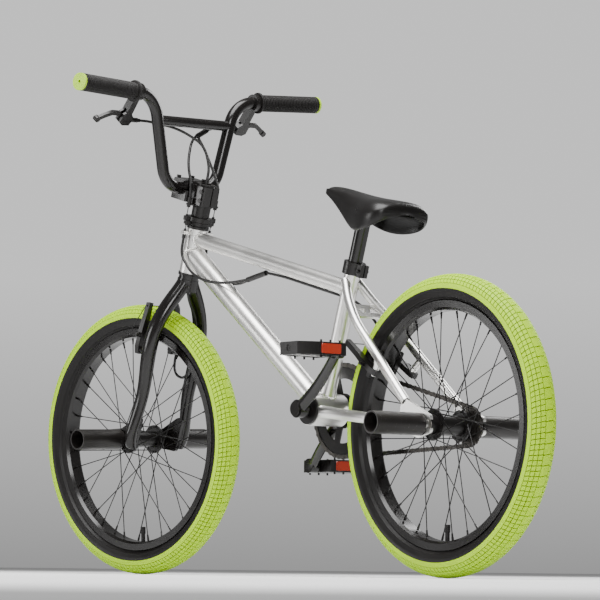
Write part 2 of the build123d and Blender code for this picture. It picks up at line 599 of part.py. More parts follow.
for side, name in ((1, "left"), (-1, "right")):
    angle = CRANK_ANGLE if side > 0 else CRANK_ANGLE + 180
    inner = ARM_INNER if side > 0 else CHAIN_LINE + 3
    with BuildPart() as crank_arm:
        rod((0, side * inner, 0), (0, side * ARM_OUTER, 0), 16)
        stations = ((6, 56, 12, 8.5), (60, 59, 11, 8.5), (120, 70, 10, 8), (CRANK_LENGTH - 4, 82, 9.5, 7.5))
        sections = []
        for x, y, half_z, half_y in stations:
            with BuildSketch(Plane(origin=(x, side * y, 0), x_dir=(0, 1, 0), z_dir=(1, 0, 0))) as oval:
                Ellipse(half_y, half_z)
            sections.append(oval.sketch)
        loft(sections=sections)
        rod((CRANK_LENGTH, side * (PEDAL_FACE - 16), 0), (CRANK_LENGTH, side * PEDAL_FACE, 0), 13)
        rod((0, side * ARM_INNER / 2, 0), (0, side * ARM_OUTER, 0), SPINDLE_RADIUS, Mode.SUBTRACT)
        rod((0, side * ARM_OUTER, 0), (0, side * (ARM_OUTER + 4), 0), 13)
        rod((CRANK_LENGTH, side * PEDAL_FACE, 0), (CRANK_LENGTH, side * (PEDAL_FACE + 3), 0), 10)
        rod((CRANK_LENGTH, side * PEDAL_FACE, 0), (CRANK_LENGTH, side * (PEDAL_FACE + 96), 0), 6)
    finish(crank_arm, f"crank_arm_{name}", CRANK_PLACE * Location((0, 0, 0), (0, -angle, 0)))

    eye = Vector(CRANK_LENGTH * cos(radians(angle)), 0, CRANK_LENGTH * sin(radians(angle)))
    with BuildPart() as pedal:
        with BuildSketch(Plane.XY.offset(-11)) as cage:
            with BuildLine():
                Polyline((-40, side * 5), (40, side * 5), (40, side * 62), (24, side * 97), (-24, side * 97),
                         (-40, side * 62), close=True)
            make_face()
        extrude(cage.sketch, amount=22)
        for low, high in ((14, 48), (56, 86)):
            for front in (1, -1):
                with BuildSketch(Plane.XY.offset(-12)) as window:
                    with BuildLine():
                        Polyline((front * 13, side * low), (front * 33, side * low),
                                 (front * (33 if high < 60 else 22), side * high), (front * 13, side * high),
                                 close=True)
                    make_face()
                extrude(window.sketch, amount=24, mode=Mode.SUBTRACT)
        rod((0, 0, 0), (0, side * 98, 0), 6 + RUN, Mode.SUBTRACT)
        for front in (1, -1):
            for up in (1, -1):
                for y in (16, 36, 56):
                    rod((front * 36, side * y, up * 10), (front * 36, side * y, up * 15), 1.8)
    finish(pedal, f"pedal_{name}", CRANK_PLACE * Location(eye + Vector(0, side * PEDAL_FACE, 0)))

# ---------------------------------------------------------------- seat
with BuildPart() as seat_post:
    rod((0, 0, SEAT_TUBE_LENGTH - 110), (0, 0, SADDLE_PIVOT_LENGTH - 6), SEAT_POST_RADIUS)
    rod((0, 11, SADDLE_PIVOT_LENGTH), (0, -11, SADDLE_PIVOT_LENGTH), 12)
    rod((0, 0, SEAT_TUBE_LENGTH - 110), (0, 0, SADDLE_PIVOT_LENGTH - 20), SEAT_POST_RADIUS - 2, Mode.SUBTRACT)
finish(seat_post, "seat_post", SEAT_PLACE)

# x, half width, top, bottom of the skirt, all in the saddle's own frame
SADDLE_STATIONS = (
    (107.0, 13.0, 42.0, 24.0),
    (92.0, 21.0, 47.0, 8.0),
    (45.0, 25.0, 45.0, -12.0),
    (0.0, 37.0, 41.0, -20.0),
    (-45.0, 57.0, 41.0, -22.0),
    (-85.0, 64.0, 42.0, -10.0),
    (-116.0, 46.0, 36.0, 12.0),
)


def saddle_section(x, half_width, top, bottom, wall=0.0):
    """One rounded section of the saddle, or of the hollow under it."""
    height = top - bottom
    with BuildSketch(Plane(origin=(x, 0, (top + bottom) / 2), x_dir=(0, 1, 0), z_dir=(1, 0, 0))) as section:
        RectangleRounded(2 * (half_width - wall), height, min(0.45 * height, 0.45 * 2 * (half_width - wall), 17))
    return section.sketch


with BuildPart() as saddle_pad:
    loft(sections=[saddle_section(*station) for station in SADDLE_STATIONS])
    hollow = []
    for x, half_width, top, bottom in SADDLE_STATIONS[1:-1]:
        hollow.append(saddle_section(x * 0.97, half_width, top - 15, bottom - 26, 8.0))
    loft(sections=hollow, mode=Mode.SUBTRACT)
finish(saddle_pad, "saddle_pad", SADDLE_PLACE)

# The stiff base under the padding: x and half width of its outline.
SHELL_OUTLINE = ((80.0, 6.0), (43.0, 10.0), (0.0, 22.0), (-44.0, 41.0), (-80.0, 45.0))
SHELL_BASE = 14.0
SHELL_THICKNESS = 8.0
with BuildPart() as saddle_shell:
    left_edge = [(x, half_width) for x, half_width in SHELL_OUTLINE]
    right_edge = [(x, -half_width) for x, half_width in reversed(SHELL_OUTLINE)]
    with BuildSketch(Plane.XY.offset(SHELL_BASE)) as plate:
        with BuildLine():
            Polyline(*left_edge, *right_edge, close=True)
        make_face()
    extrude(plate.sketch, amount=SHELL_THICKNESS)
    with BuildSketch(Plane.XY.offset(2)) as block:
        Rectangle(46, 30)
    extrude(block.sketch, amount=SHELL_BASE)
    rod((0, 40, 0), (0, -40, 0), 12 + RUN, Mode.SUBTRACT)
finish(saddle_shell, "saddle_shell", SADDLE_PLACE)

# ---------------------------------------------------------------- fork
CROWN_TOP = 322.0
# x, y, z, half width across, half width fore and aft of the left leg
FORK_LEG_STATIONS = (
    (0.0, 10.0, 312.0, 13.0, 15.0),
    (0.5, 28.0, 285.0, 12.5, 15.5),
    (2.0, 46.0, 254.0, 12.0, 15.5),
    (3.0, 58.0, 218.0, 12.0, 15.5),
    (3.0, 60.0, 150.0, 11.5, 15.0),
    (3.0, 59.5, 75.0, 10.0, 12.5),
    (3.0, 59.0, -6.0, 8.0, 9.5),
)
FORK_DROPOUT = ((-4, 56), (12, 50), (50, 16), (59, 4), (57, -12), (40, -17), (0, -12))
STEERER_TOP = 498.7

with BuildPart() as fork:
    for side in (1, -1):
        sections = []
        for index, (x, y, z, half_y, half_x) in enumerate(FORK_LEG_STATIONS):
            before = FORK_LEG_STATIONS[max(index - 1, 0)]
            after = FORK_LEG_STATIONS[min(index + 1, len(FORK_LEG_STATIONS) - 1)]
            heading = Vector(after[0] - before[0], side * (after[1] - before[1]), after[2] - before[2])
            with BuildSketch(Plane(origin=(x, side * y, z), x_dir=(1, 0, 0), z_dir=heading)) as oval:
                Ellipse(half_x, half_y)
            sections.append(oval.sketch)
        loft(sections=sections)
        inner = FRONT_HUB_HALF if side > 0 else -FRONT_HUB_HALF - DROPOUT_THICKNESS
        with BuildSketch(Plane.XZ.offset(-inner - DROPOUT_THICKNESS)) as plate:
            with BuildLine():
                Polyline(*FORK_DROPOUT, close=True)
            make_face()
            fillet(plate.vertices(), radius=5)
        extrude(plate.sketch, amount=DROPOUT_THICKNESS)
        brake_stud(FRONT_BRAKE, side, (5, side * 50, BRAKE_PIVOT_RADIUS))
    rod((0, 0, CROWN_TOP - 22), (0, 0, CROWN_TOP), 20)
    rod((0, 0, CROWN_TOP), (0, 0, HEAD_TUBE_BOTTOM - CUP_LIP - GAP), STEERER_RADIUS + 4)
    rod((0, 0, CROWN_TOP), (0, 0, STEERER_TOP), STEERER_RADIUS)
    rod((0, 0, CROWN_TOP - 40), (0, 0, STEERER_TOP), 10.5, Mode.SUBTRACT)
    # room for the hub's face and the axle's washers
    rod((FORK_OFFSET, FRONT_HUB_HALF, 0), (FORK_OFFSET, -FRONT_HUB_HALF, 0), 24, Mode.SUBTRACT)
    rod((FORK_OFFSET, 100, 0), (FORK_OFFSET, -100, 0), FRONT_AXLE_RADIUS + RUN, Mode.SUBTRACT)
finish(fork, "fork", STEERING_PLACE)


# ---------------------------------------------------------------- brake arms
def brake_arm(side, top_radius):
    """One linear-pull arm with its pad, in the brake frame."""
    with BuildSketch(Plane.XY.offset(-ARM_HALF_THICKNESS)) as outline:
        with BuildLine():
            Polyline((BRAKE_PIVOT_RADIUS - 8, side * 36), (BRAKE_PIVOT_RADIUS - 8, side * 47),
                     (BRAKE_PIVOT_RADIUS + 6, side * 50), (215, side * 46), (235, side * 42),
                     (top_radius, side * 37), (top_radius, side * 28), (232, side * 31),
                     (212, side * 34), (BRAKE_PIVOT_RADIUS + 6, side * 34), close=True)
        make_face()
        with Locations((BRAKE_PIVOT_RADIUS, side * BRAKE_PIVOT_HALF)):
            Circle(BRAKE_STUD_RADIUS + RUN, mode=Mode.SUBTRACT)
    extrude(outline.sketch, amount=2 * ARM_HALF_THICKNESS)
    rod((top_radius - 6, side * 20, 0), (top_radius - 6, side * 50, 0), 1.8, Mode.SUBTRACT)
    with BuildSketch(Plane.XZ.offset(-side * 18.9)) as pad:
        with Locations((BRAKE_PAD_RADIUS, 0)):
            RectangleRounded(9, 52, 3)
    extrude(pad.sketch, amount=-side * 9)
    rod((BRAKE_PAD_RADIUS, side * 27.9, 0), (BRAKE_PAD_RADIUS, side * 56, 0), 3)
    with BuildSketch(Plane(origin=(BRAKE_PAD_RADIUS, side * 47, 0), z_dir=(0, side, 0))) as nut:
        RegularPolygon(5, 6)
    extrude(nut.sketch, amount=5)


for wheel_name, frame_plane, top_radius in (("front", FRONT_BRAKE, FRONT_BRAKE_TOP_RADIUS), ("rear", REAR_BRAKE, BRAKE_TOP_RADIUS)):
    place = frame_plane.location
    if wheel_name == "front":
        place = STEERING_PLACE * place
    for side, side_name in ((1, "left"), (-1, "right")):
        with BuildPart() as arm:
            brake_arm(side, top_radius)
            if (wheel_name, side_name) == ("front", "left"):
                # the clamped wire's bare end
                rod((top_radius - 6, side * 38, 1 - ARM_HALF_THICKNESS), (188, side * 42, -39), WIRE_RADIUS)
        finish(arm, f"{wheel_name}_brake_arm_{side_name}", place)

# ---------------------------------------------------------------- gyro, spacers and stem
SPACER_RADIUS = 17.0
GYRO_BORE = SPACER_RADIUS + GAP
SPACER_BOTTOM = HEAD_TUBE_TOP + CUP_LIP + GAP
STEM_BOTTOM = 463.5
STEM_TOP = 499.0
LOWER_RING = (425.5, 431.0)
UPPER_RING = (432.0, 440.0)
EAR_REACH = 28.0
UPPER_EAR_ANGLE = 75.0         # the upper plates' ears, from straight ahead
LOWER_EAR_ANGLE = 90.0
GYRO_TRAVEL = 8.0
ADJUSTER_RADIUS = 3.6
ADJUSTER_BORE = 1.6


def ear(side, angle):
    """The wire's place in an ear of a plate whose two ears lie opposite each other."""
    return side * EAR_REACH * cos(radians(angle)), side * EAR_REACH * sin(radians(angle))


def eared_plate(low, high, radius, angle):
    """A disc with two opposite ears."""
    with BuildSketch(Plane.XY.offset(low)) as plate:
        Circle(radius)
        SlotOverall(2 * EAR_REACH + 11, 10, rotation=angle)
    extrude(plate.sketch, amount=high - low)


ADJUSTER_TOP = STEM_BOTTOM + 11
with BuildPart() as headset_spacer:
    rod((0, 0, SPACER_BOTTOM), (0, 0, STEM_BOTTOM - 3), SPACER_RADIUS)
    eared_plate(STEM_BOTTOM - 3, STEM_BOTTOM, 20, UPPER_EAR_ANGLE)
    for side in (1, -1):
        x, y = ear(side, UPPER_EAR_ANGLE)
        rod((x, y, STEM_BOTTOM - 7), (x, y, ADJUSTER_TOP), ADJUSTER_RADIUS)
        rod((x, y, STEM_BOTTOM - 8), (x, y, ADJUSTER_TOP + 1), ADJUSTER_BORE, Mode.SUBTRACT)
    rod((0, 0, SPACER_BOTTOM), (0, 0, STEM_BOTTOM), STEERER_RADIUS, Mode.SUBTRACT)
finish(headset_spacer, "headset_spacer", STEERING_PLACE)

# Each ring carries the two wires that its cables pull; the rings turn against each other.
with BuildPart() as gyro_lower:
    eared_plate(LOWER_RING[0], LOWER_RING[1], 22, LOWER_EAR_ANGLE)
    rod((0, 0, LOWER_RING[0]), (0, 0, LOWER_RING[1]), GYRO_BORE, Mode.SUBTRACT)
    for side in (1, -1):
        x, y = ear(side, LOWER_EAR_ANGLE)
        rod((x, y, HEAD_TUBE_TOP - 16), (x, y, LOWER_RING[0]), WIRE_RADIUS)
        rod((x, y, LOWER_RING[0] - 3), (x, y, LOWER_RING[0]), 2.4)
finish(gyro_lower, "gyro_lower", HEAD_PLACE)

with BuildPart() as gyro_upper:
    eared_plate(UPPER_RING[0], UPPER_RING[1], 24, UPPER_EAR_ANGLE)
    rod((0, 0, UPPER_RING[0]), (0, 0, UPPER_RING[1]), GYRO_BORE, Mode.SUBTRACT)
    for side in (1, -1):
        x, y = ear(side, UPPER_EAR_ANGLE)
        rod((x, y, UPPER_RING[1]), (x, y, ADJUSTER_TOP - GYRO_TRAVEL - 2), WIRE_RADIUS)
        rod((x, y, UPPER_RING[1]), (x, y, UPPER_RING[1] + 3), 2.4)
finish(gyro_upper, "gyro_upper", STEERING_PLACE)

BAR_CENTRE = Vector(BAR_REACH, 0, BAR_HEIGHT)
with BuildPart() as stem_body:
    with BuildSketch(Plane.XY.offset(STEM_BOTTOM)) as section:
        RectangleRounded(42, 42, 8)
        with Locations((BAR_REACH, 0)):
            RectangleRounded(44, 50, 5)
    extrude(section.sketch, amount=BAR_HEIGHT - 1 - STEM_BOTTOM)
    with BuildSketch(Plane.XY.offset(STEM_BOTTOM)) as section:
        RectangleRounded(42, 42, 8)
    extrude(section.sketch, amount=STEM_TOP - STEM_BOTTOM)
    rod((0, 0, STEM_BOTTOM), (0, 0, STEM_TOP), STEERER_RADIUS, Mode.SUBTRACT)
    with BuildSketch(Plane.XY.offset(STEM_BOTTOM)) as slit:
        with Locations((-16, 0)):
            Rectangle(14, 2.5)
    extrude(slit.sketch, amount=40, mode=Mode.SUBTRACT)
    rod(BAR_CENTRE + Vector(0, 40, 0), BAR_CENTRE - Vector(0, 40, 0), BAR_RADIUS, Mode.SUBTRACT)
finish(stem_body, "stem_body", STEERING_PLACE)

with BuildPart() as stem_clamp_plate:
    with BuildSketch(Plane.XZ) as section:
        with Locations((BAR_REACH, BAR_HEIGHT + 9)):
            RectangleRounded(40, 18, 5)
    extrude(section.sketch, amount=25, both=True)
    with BuildSketch(Plane.XY.offset(BAR_HEIGHT - 10)) as parting:
        with Locations((BAR_REACH, 0)):
            Rectangle(60, 60)
    extrude(parting.sketch, amount=11, mode=Mode.SUBTRACT)
    rod(BAR_CENTRE + Vector(0, 40, 0), BAR_CENTRE - Vector(0, 40, 0), BAR_RADIUS, Mode.SUBTRACT)
finish(stem_clamp_plate, "stem_clamp_plate", STEERING_PLACE)

with BuildPart() as stem_bolts:
    for x in (BAR_REACH - 16, BAR_REACH + 16):
        for y in (-17, 17):
            rod((x, y, BAR_HEIGHT + 18), (x, y, BAR_HEIGHT + 22), 4.2)
    for z in (STEM_BOTTOM + 10, STEM_TOP - 9):
        rod((-15, 21, z), (-15, 25, z), 4.2)
    rod((0, 0, STEM_TOP), (0, 0, STEM_TOP + 4), 17)
    rod((0, 0, STEM_TOP), (0, 0, STEM_TOP + 4), 10.5, Mode.SUBTRACT)
finish(stem_bolts, "stem_bolts", STEERING_PLACE)

# ---------------------------------------------------------------- handlebar
lean_x, lean_z = sin(radians(BAR_LEAN)), cos(radians(BAR_LEAN))
CROSSBAR_HEIGHT = 122.0        # above the clamp, up the bar's own plane
TOP_BEND_HEIGHT = 168.0
bottom_bend = Vector(BAR_REACH, 62, BAR_HEIGHT)
top_bend = Vector(BAR_REACH + TOP_BEND_HEIGHT * lean_x, 103, BAR_HEIGHT + TOP_BEND_HEIGHT * lean_z)
bar_end = Vector(top_bend.X - 15, GRIP_OUTER, top_bend.Z + 12)
grip_heading = bar_end - top_bend


def mirrored(point, side):
    """A point on the left, or its mirror image on the right."""
    return Vector(point.X, side * point.Y, point.Z)


def along_grip(y, side=1):
    """The bar's centre under the grip, at a distance from the middle plane."""
    return mirrored(top_bend + grip_heading * ((y - top_bend.Y) / grip_heading.Y), side)


bar_points = [mirrored(bar_end, -1), mirrored(top_bend, -1), mirrored(bottom_bend, -1), bottom_bend, top_bend, bar_end]
bar_radii = [55, 45, 45, 55]
crossbar_centre = Vector(BAR_REACH + CROSSBAR_HEIGHT * lean_x, 0, BAR_HEIGHT + CROSSBAR_HEIGHT * lean_z)
crossbar_half = 92.0
with BuildPart() as handlebar:
    rod(crossbar_centre + Vector(0, crossbar_half, 0), crossbar_centre - Vector(0, crossbar_half, 0), CROSSBAR_RADIUS)
    rod(crossbar_centre + Vector(0, crossbar_half, 0), crossbar_centre - Vector(0, crossbar_half, 0),
        CROSSBAR_RADIUS - TUBE_WALL, Mode.SUBTRACT)
    routed_tube(bar_points, BAR_RADIUS, radii=bar_radii, mode=Mode.SUBTRACT)
    routed_tube(bar_points, BAR_RADIUS, BAR_RADIUS - 2, radii=bar_radii)
finish(handlebar, "handlebar", STEERING_PLACE)

for side, name in ((1, "left"), (-1, "right")):
    with BuildPart() as grip:
        rod(along_grip(GRIP_INNER - 4, side), along_grip(GRIP_OUTER, side), GRIP_RADIUS)
        rod(along_grip(GRIP_INNER - 4, side), along_grip(GRIP_INNER, side), 20)
        rod(along_grip(GRIP_INNER - 4, side), along_grip(GRIP_OUTER, side), BAR_RADIUS, Mode.SUBTRACT)
    finish(grip, f"grip_{name}", STEERING_PLACE)

with BuildPart() as bar_end_plugs:
    for side in (1, -1):
        rod(along_grip(GRIP_OUTER, side), along_grip(GRIP_OUTER + 4, side), GRIP_RADIUS)
        rod(along_grip(GRIP_OUTER - 12, side), along_grip(GRIP_OUTER, side), BAR_RADIUS - 2.2)
        rod(along_grip(GRIP_OUTER - 13, side), along_grip(GRIP_OUTER + 5, side), 2.8, Mode.SUBTRACT)
finish(bar_end_plugs, "bar_end_plugs", STEERING_PLACE)

# ---------------------------------------------------------------- brake levers
reach_cos, reach_sin = cos(radians(LEVER_DROP)), sin(radians(LEVER_DROP))
for side, name in ((1, "left"), (-1, "right")):
    clamp_centre = along_grip(LEVER_PERCH, side)
    lever_plane = Plane(origin=clamp_centre, x_dir=(reach_cos, 0, -reach_sin), z_dir=(reach_sin, 0, reach_cos))
    place = STEERING_PLACE * lever_plane.location
    bar_in = lever_plane.to_local_coords(along_grip(LEVER_PERCH - 20, side))
    bar_out = lever_plane.to_local_coords(along_grip(LEVER_PERCH + 20, side))
    pivot = (LEVER_PIVOT_REACH, side * LEVER_PIVOT_OUT)
    with BuildPart() as bracket:
        rod((0, side * 3, 0), (0, side * -8, 0), 16)
        with BuildSketch(Plane.XY.offset(-8)) as body:
            with BuildLine():
                Polyline((8, side * 4.5), (44, side * 5), (48, side * 10), (66, side * 10), (71, side * 2),
                         (70, side * -14), (54, side * -18), (46, side * -9), (8, side * -8), close=True)
            make_face()
        extrude(body.sketch, amount=16)
        rod((62, side * -14, 0), (62, side * -36, 0), 4.5)
        rod((62, side * -36, 0), (62, side * -42, 0), 3.4)
        rod(bar_in, bar_out, BAR_RADIUS, Mode.SUBTRACT)
        with BuildSketch(Plane.XY.offset(-3.3)) as slot:
            with BuildLine():
                Polyline((38, side * 14), (38, side * 3), (47, side * -12), (80, side * -12), (80, side * 14), close=True)
            make_face()
        extrude(slot.sketch, amount=6.6, mode=Mode.SUBTRACT)
        rod((pivot[0], pivot[1], -8), (pivot[0], pivot[1], 8), 2.5)
    finish(bracket, f"lever_bracket_{name}", place)

    with BuildPart() as lever:
        with BuildSketch(Plane.XY.offset(-3)) as blade:
            with BuildLine() as spine:
                Polyline(pivot, (50, side * 18), (50, side * 32), (58, side * 48), (66, side * 60))
            trace(spine.line, line_width=8)
            with Locations(pivot):
                Circle(6)
            with Locations((66, side * 60)):
                Circle(5)
            with Locations(pivot):
                Circle(2.5 + RUN, mode=Mode.SUBTRACT)
        extrude(blade.sketch, amount=6)
        rod((66, side * 61, -4.5), (66, side * 61, 4.5), 5.5)
    finish(lever, f"brake_lever_{name}", place)

# ---------------------------------------------------------------- cables
def lever_cable_start(side):
    """Where the housing enters the lever's barrel, in the steering frame."""
    lever_plane = Plane(origin=along_grip(LEVER_PERCH, side), x_dir=(reach_cos, 0, -reach_sin),
                        z_dir=(reach_sin, 0, reach_cos))
    return lever_plane.from_local_coords((62, side * -42, 0)), lever_plane.from_local_coords((62, side * -64, 0))


front_arm_top = FRONT_BRAKE.from_local_coords((FRONT_BRAKE_TOP_RADIUS - 6, -42, 0))
with BuildPart() as steering_cables:
    # the left lever's cable drops through the hollow steerer, past the tyre and up to the right arm
    start, run = lever_cable_start(1)
    routed_tube([start, run, (66, 32, 592), (32, -8, 570), (8, -8, 532), (0, 0, 505), (0, 0, 296),
                 (-9, -36, 240), (-10, -38, 180), (-4, -40, 128), (48, -52, 128), (60, -62, 180), (64, -56, 236),
                 front_arm_top],
                CABLE_RADIUS, label="front brake cable")
    # the right lever's cable runs into a splitter, and two cables leave it for the upper ears
    start, run = lever_cable_start(-1)
    splitter_in, splitter_out = Vector(76, -48, 592), Vector(68, -20, 581)
    routed_tube([start, run, splitter_in], CABLE_RADIUS, label="right lever cable")
    rod(splitter_in, splitter_out, 5)
    left_ear, right_ear = ear(1, UPPER_EAR_ANGLE), ear(-1, UPPER_EAR_ANGLE)
    leave_left = splitter_out + Vector(0, 2.6, 1.0)
    leave_right = splitter_out - Vector(2.6, 0, 2.0)
    routed_tube([leave_left, (52, 8, 571), (34, 24, 535), (10, 29, 500), (left_ear[0], left_ear[1], ADJUSTER_TOP + 1)],
                CABLE_RADIUS, label="upper left gyro cable")
    routed_tube([leave_right, (38, -17, 560), (14, -28, 522), (-5, -29, 497),
                 (right_ear[0], right_ear[1], ADJUSTER_TOP + 1)], CABLE_RADIUS, label="upper right gyro cable")
    # the bare wire that draws the front arms together
    rod(FRONT_BRAKE.from_local_coords((FRONT_BRAKE_TOP_RADIUS - 6, -41, 0)),
        FRONT_BRAKE.from_local_coords((FRONT_BRAKE_TOP_RADIUS - 6, 38, 0)), WIRE_RADIUS)
finish(steering_cables, "steering_cables", STEERING_PLACE)

rear_arm_top = REAR_BRAKE.from_local_coords((BRAKE_TOP_RADIUS - 6, -42, 0))
with BuildPart() as rear_brake_cable:
    sleeve_in, sleeve_out = Vector(122, 0, 535), Vector(66, 0, 544)
    for side, name in ((1, "left"), (-1, "right")):
        stop_low = HEAD.from_local_coords((0, side * EAR_REACH, HEAD_TUBE_TOP - 20))
        stop_high = HEAD.from_local_coords((0, side * EAR_REACH, HEAD_TUBE_TOP - 12))
        adjuster_top = HEAD.from_local_coords((0, side * EAR_REACH, HEAD_TUBE_TOP - 2))
        rod(stop_low, stop_high, ADJUSTER_RADIUS)
        rod(stop_high, adjuster_top, 2.55)
        rod(stop_low, adjuster_top, ADJUSTER_BORE, Mode.SUBTRACT)
        low = HEAD.from_local_coords((-1, side * EAR_REACH, 368))
        routed_tube([stop_low, low, (262, side * 28, 556), (212, side * 27, 535), (160, side * 12, 531),
                     sleeve_in + Vector(0, side * 2.6, 0)], CABLE_RADIUS, label=f"lower {name} gyro cable")
    rod(sleeve_in, sleeve_out, 5)
    routed_tube([sleeve_out, (16, 0, 534.2), (-128, 0, 495.7), (-166, -21.5, 482), (-187, -54, 444), rear_arm_top],
                CABLE_RADIUS, label="rear brake cable")
    rod(REAR_BRAKE.from_local_coords((BRAKE_TOP_RADIUS - 6, -41, 0)),
        REAR_BRAKE.from_local_coords((BRAKE_TOP_RADIUS - 6, 38, 0)), WIRE_RADIUS)
finish(rear_brake_cable, "rear_brake_cable")
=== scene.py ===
import json
from math import acos, atan2, cos, hypot, pi, radians, sin, sqrt

import bmesh
import bpy
from mathutils import Matrix, Vector


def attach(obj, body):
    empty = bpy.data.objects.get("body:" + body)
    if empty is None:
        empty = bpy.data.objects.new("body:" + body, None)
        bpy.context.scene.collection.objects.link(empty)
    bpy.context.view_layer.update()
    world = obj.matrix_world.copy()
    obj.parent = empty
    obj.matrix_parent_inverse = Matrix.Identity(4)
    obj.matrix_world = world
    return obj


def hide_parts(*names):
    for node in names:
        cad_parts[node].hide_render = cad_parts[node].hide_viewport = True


bl_info = {
    "name": "Freestyle bike builder",
    "version": (1, 0, 0),
    "blender": (4, 5, 0),
    "location": "3D View > Sidebar > Bike",
    "description": "Builds the visible pieces of a freestyle bike round its packed CAD frame",
    "category": "Add Mesh",
}

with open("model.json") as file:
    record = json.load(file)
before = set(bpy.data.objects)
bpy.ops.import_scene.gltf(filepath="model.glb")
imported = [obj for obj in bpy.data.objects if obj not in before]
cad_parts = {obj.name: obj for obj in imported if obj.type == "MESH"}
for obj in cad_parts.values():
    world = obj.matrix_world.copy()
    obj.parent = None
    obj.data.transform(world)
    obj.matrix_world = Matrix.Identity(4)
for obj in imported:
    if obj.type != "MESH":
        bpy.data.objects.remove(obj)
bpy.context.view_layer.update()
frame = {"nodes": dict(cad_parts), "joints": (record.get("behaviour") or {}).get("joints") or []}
JOINTS = {joint["name"]: joint for joint in frame["joints"]}
MM = 0.001

# ---------------------------------------------------------------- sizes in millimetres
# wheels
SECTION_RADIUS = 229.5         # of the circle that the tyre's section runs round
SECTION_HIGH = 24.5
SECTION_WIDE = 26.6
TREAD_DEPTH = 1.5
RIM_SEAT = 192.1
HUB_HOLE_RADIUS = 22.5
FLANGES = {"front": (32.0, -32.0), "rear": (32.0, -26.0)}

# drive
CHAIN_PITCH = 12.7
CHAIN_LINE = 43.0
RING_TEETH, FREEWHEEL_TEETH = 40, 16
CRANK_LENGTH = 168.0
CRANK_ANGLE = radians(146.5)
PEDAL_FACE = 90.0

# bars, in the steering frame
TOP_BEND = Vector((42 + 168 * sin(radians(10)), 103, 485 + 168 * cos(radians(10))))
GRIP_RUN = Vector((-15, 196, 12))
GRIP_INNER, GRIP_OUTER = 160.0, 299.0


# ---------------------------------------------------------------- frames of reference
def place(origin, x_axis, y_axis, z_axis):
    """A matrix that takes millimetres along three axes to metres in the bike's frame."""
    turn = Matrix((x_axis, y_axis, z_axis)).transposed().to_4x4()
    return Matrix.Translation(origin) @ turn @ Matrix.Scale(MM, 4)


def joint_at(name):
    return Vector(JOINTS[name]["pos_m"])


def joint_axis(name):
    return Vector(JOINTS[name]["axis"]).normalized()


X, Y, Z = Vector((1, 0, 0)), Vector((0, 1, 0)), Vector((0, 0, 1))
steer_up = joint_axis("steering")
steer_left = joint_axis("front_wheel_spin")
steer_ahead = steer_left.cross(steer_up)
rake = atan2(-steer_up.x, steer_up.z)
seat_up = joint_axis("seat_height")
saddle_lean = radians(12)

BIKE = Matrix.Scale(MM, 4)
STEERING = place(joint_at("steering"), steer_ahead, steer_left, steer_up)
WHEELS = {
    "front": place(joint_at("front_wheel_spin"), steer_ahead * cos(rake) - steer_up * sin(rake), steer_left,
                   steer_ahead * sin(rake) + steer_up * cos(rake)),
    "rear": place(joint_at("rear_wheel_spin"), X, Y, Z),
}
CRANK = place(joint_at("crank_spin"), X, Y, Z)
SADDLE = place(joint_at("saddle_tilt"), Vector((cos(saddle_lean), 0, sin(saddle_lean))), Y,
               Vector((-sin(saddle_lean), 0, cos(saddle_lean))))


def grip_point(y, side=1):
    """The bar's centre under a grip, at a distance from the middle plane."""
    at = TOP_BEND + GRIP_RUN * ((y - TOP_BEND.y) / GRIP_RUN.y)
    return Vector((at.x, side * at.y, at.z))


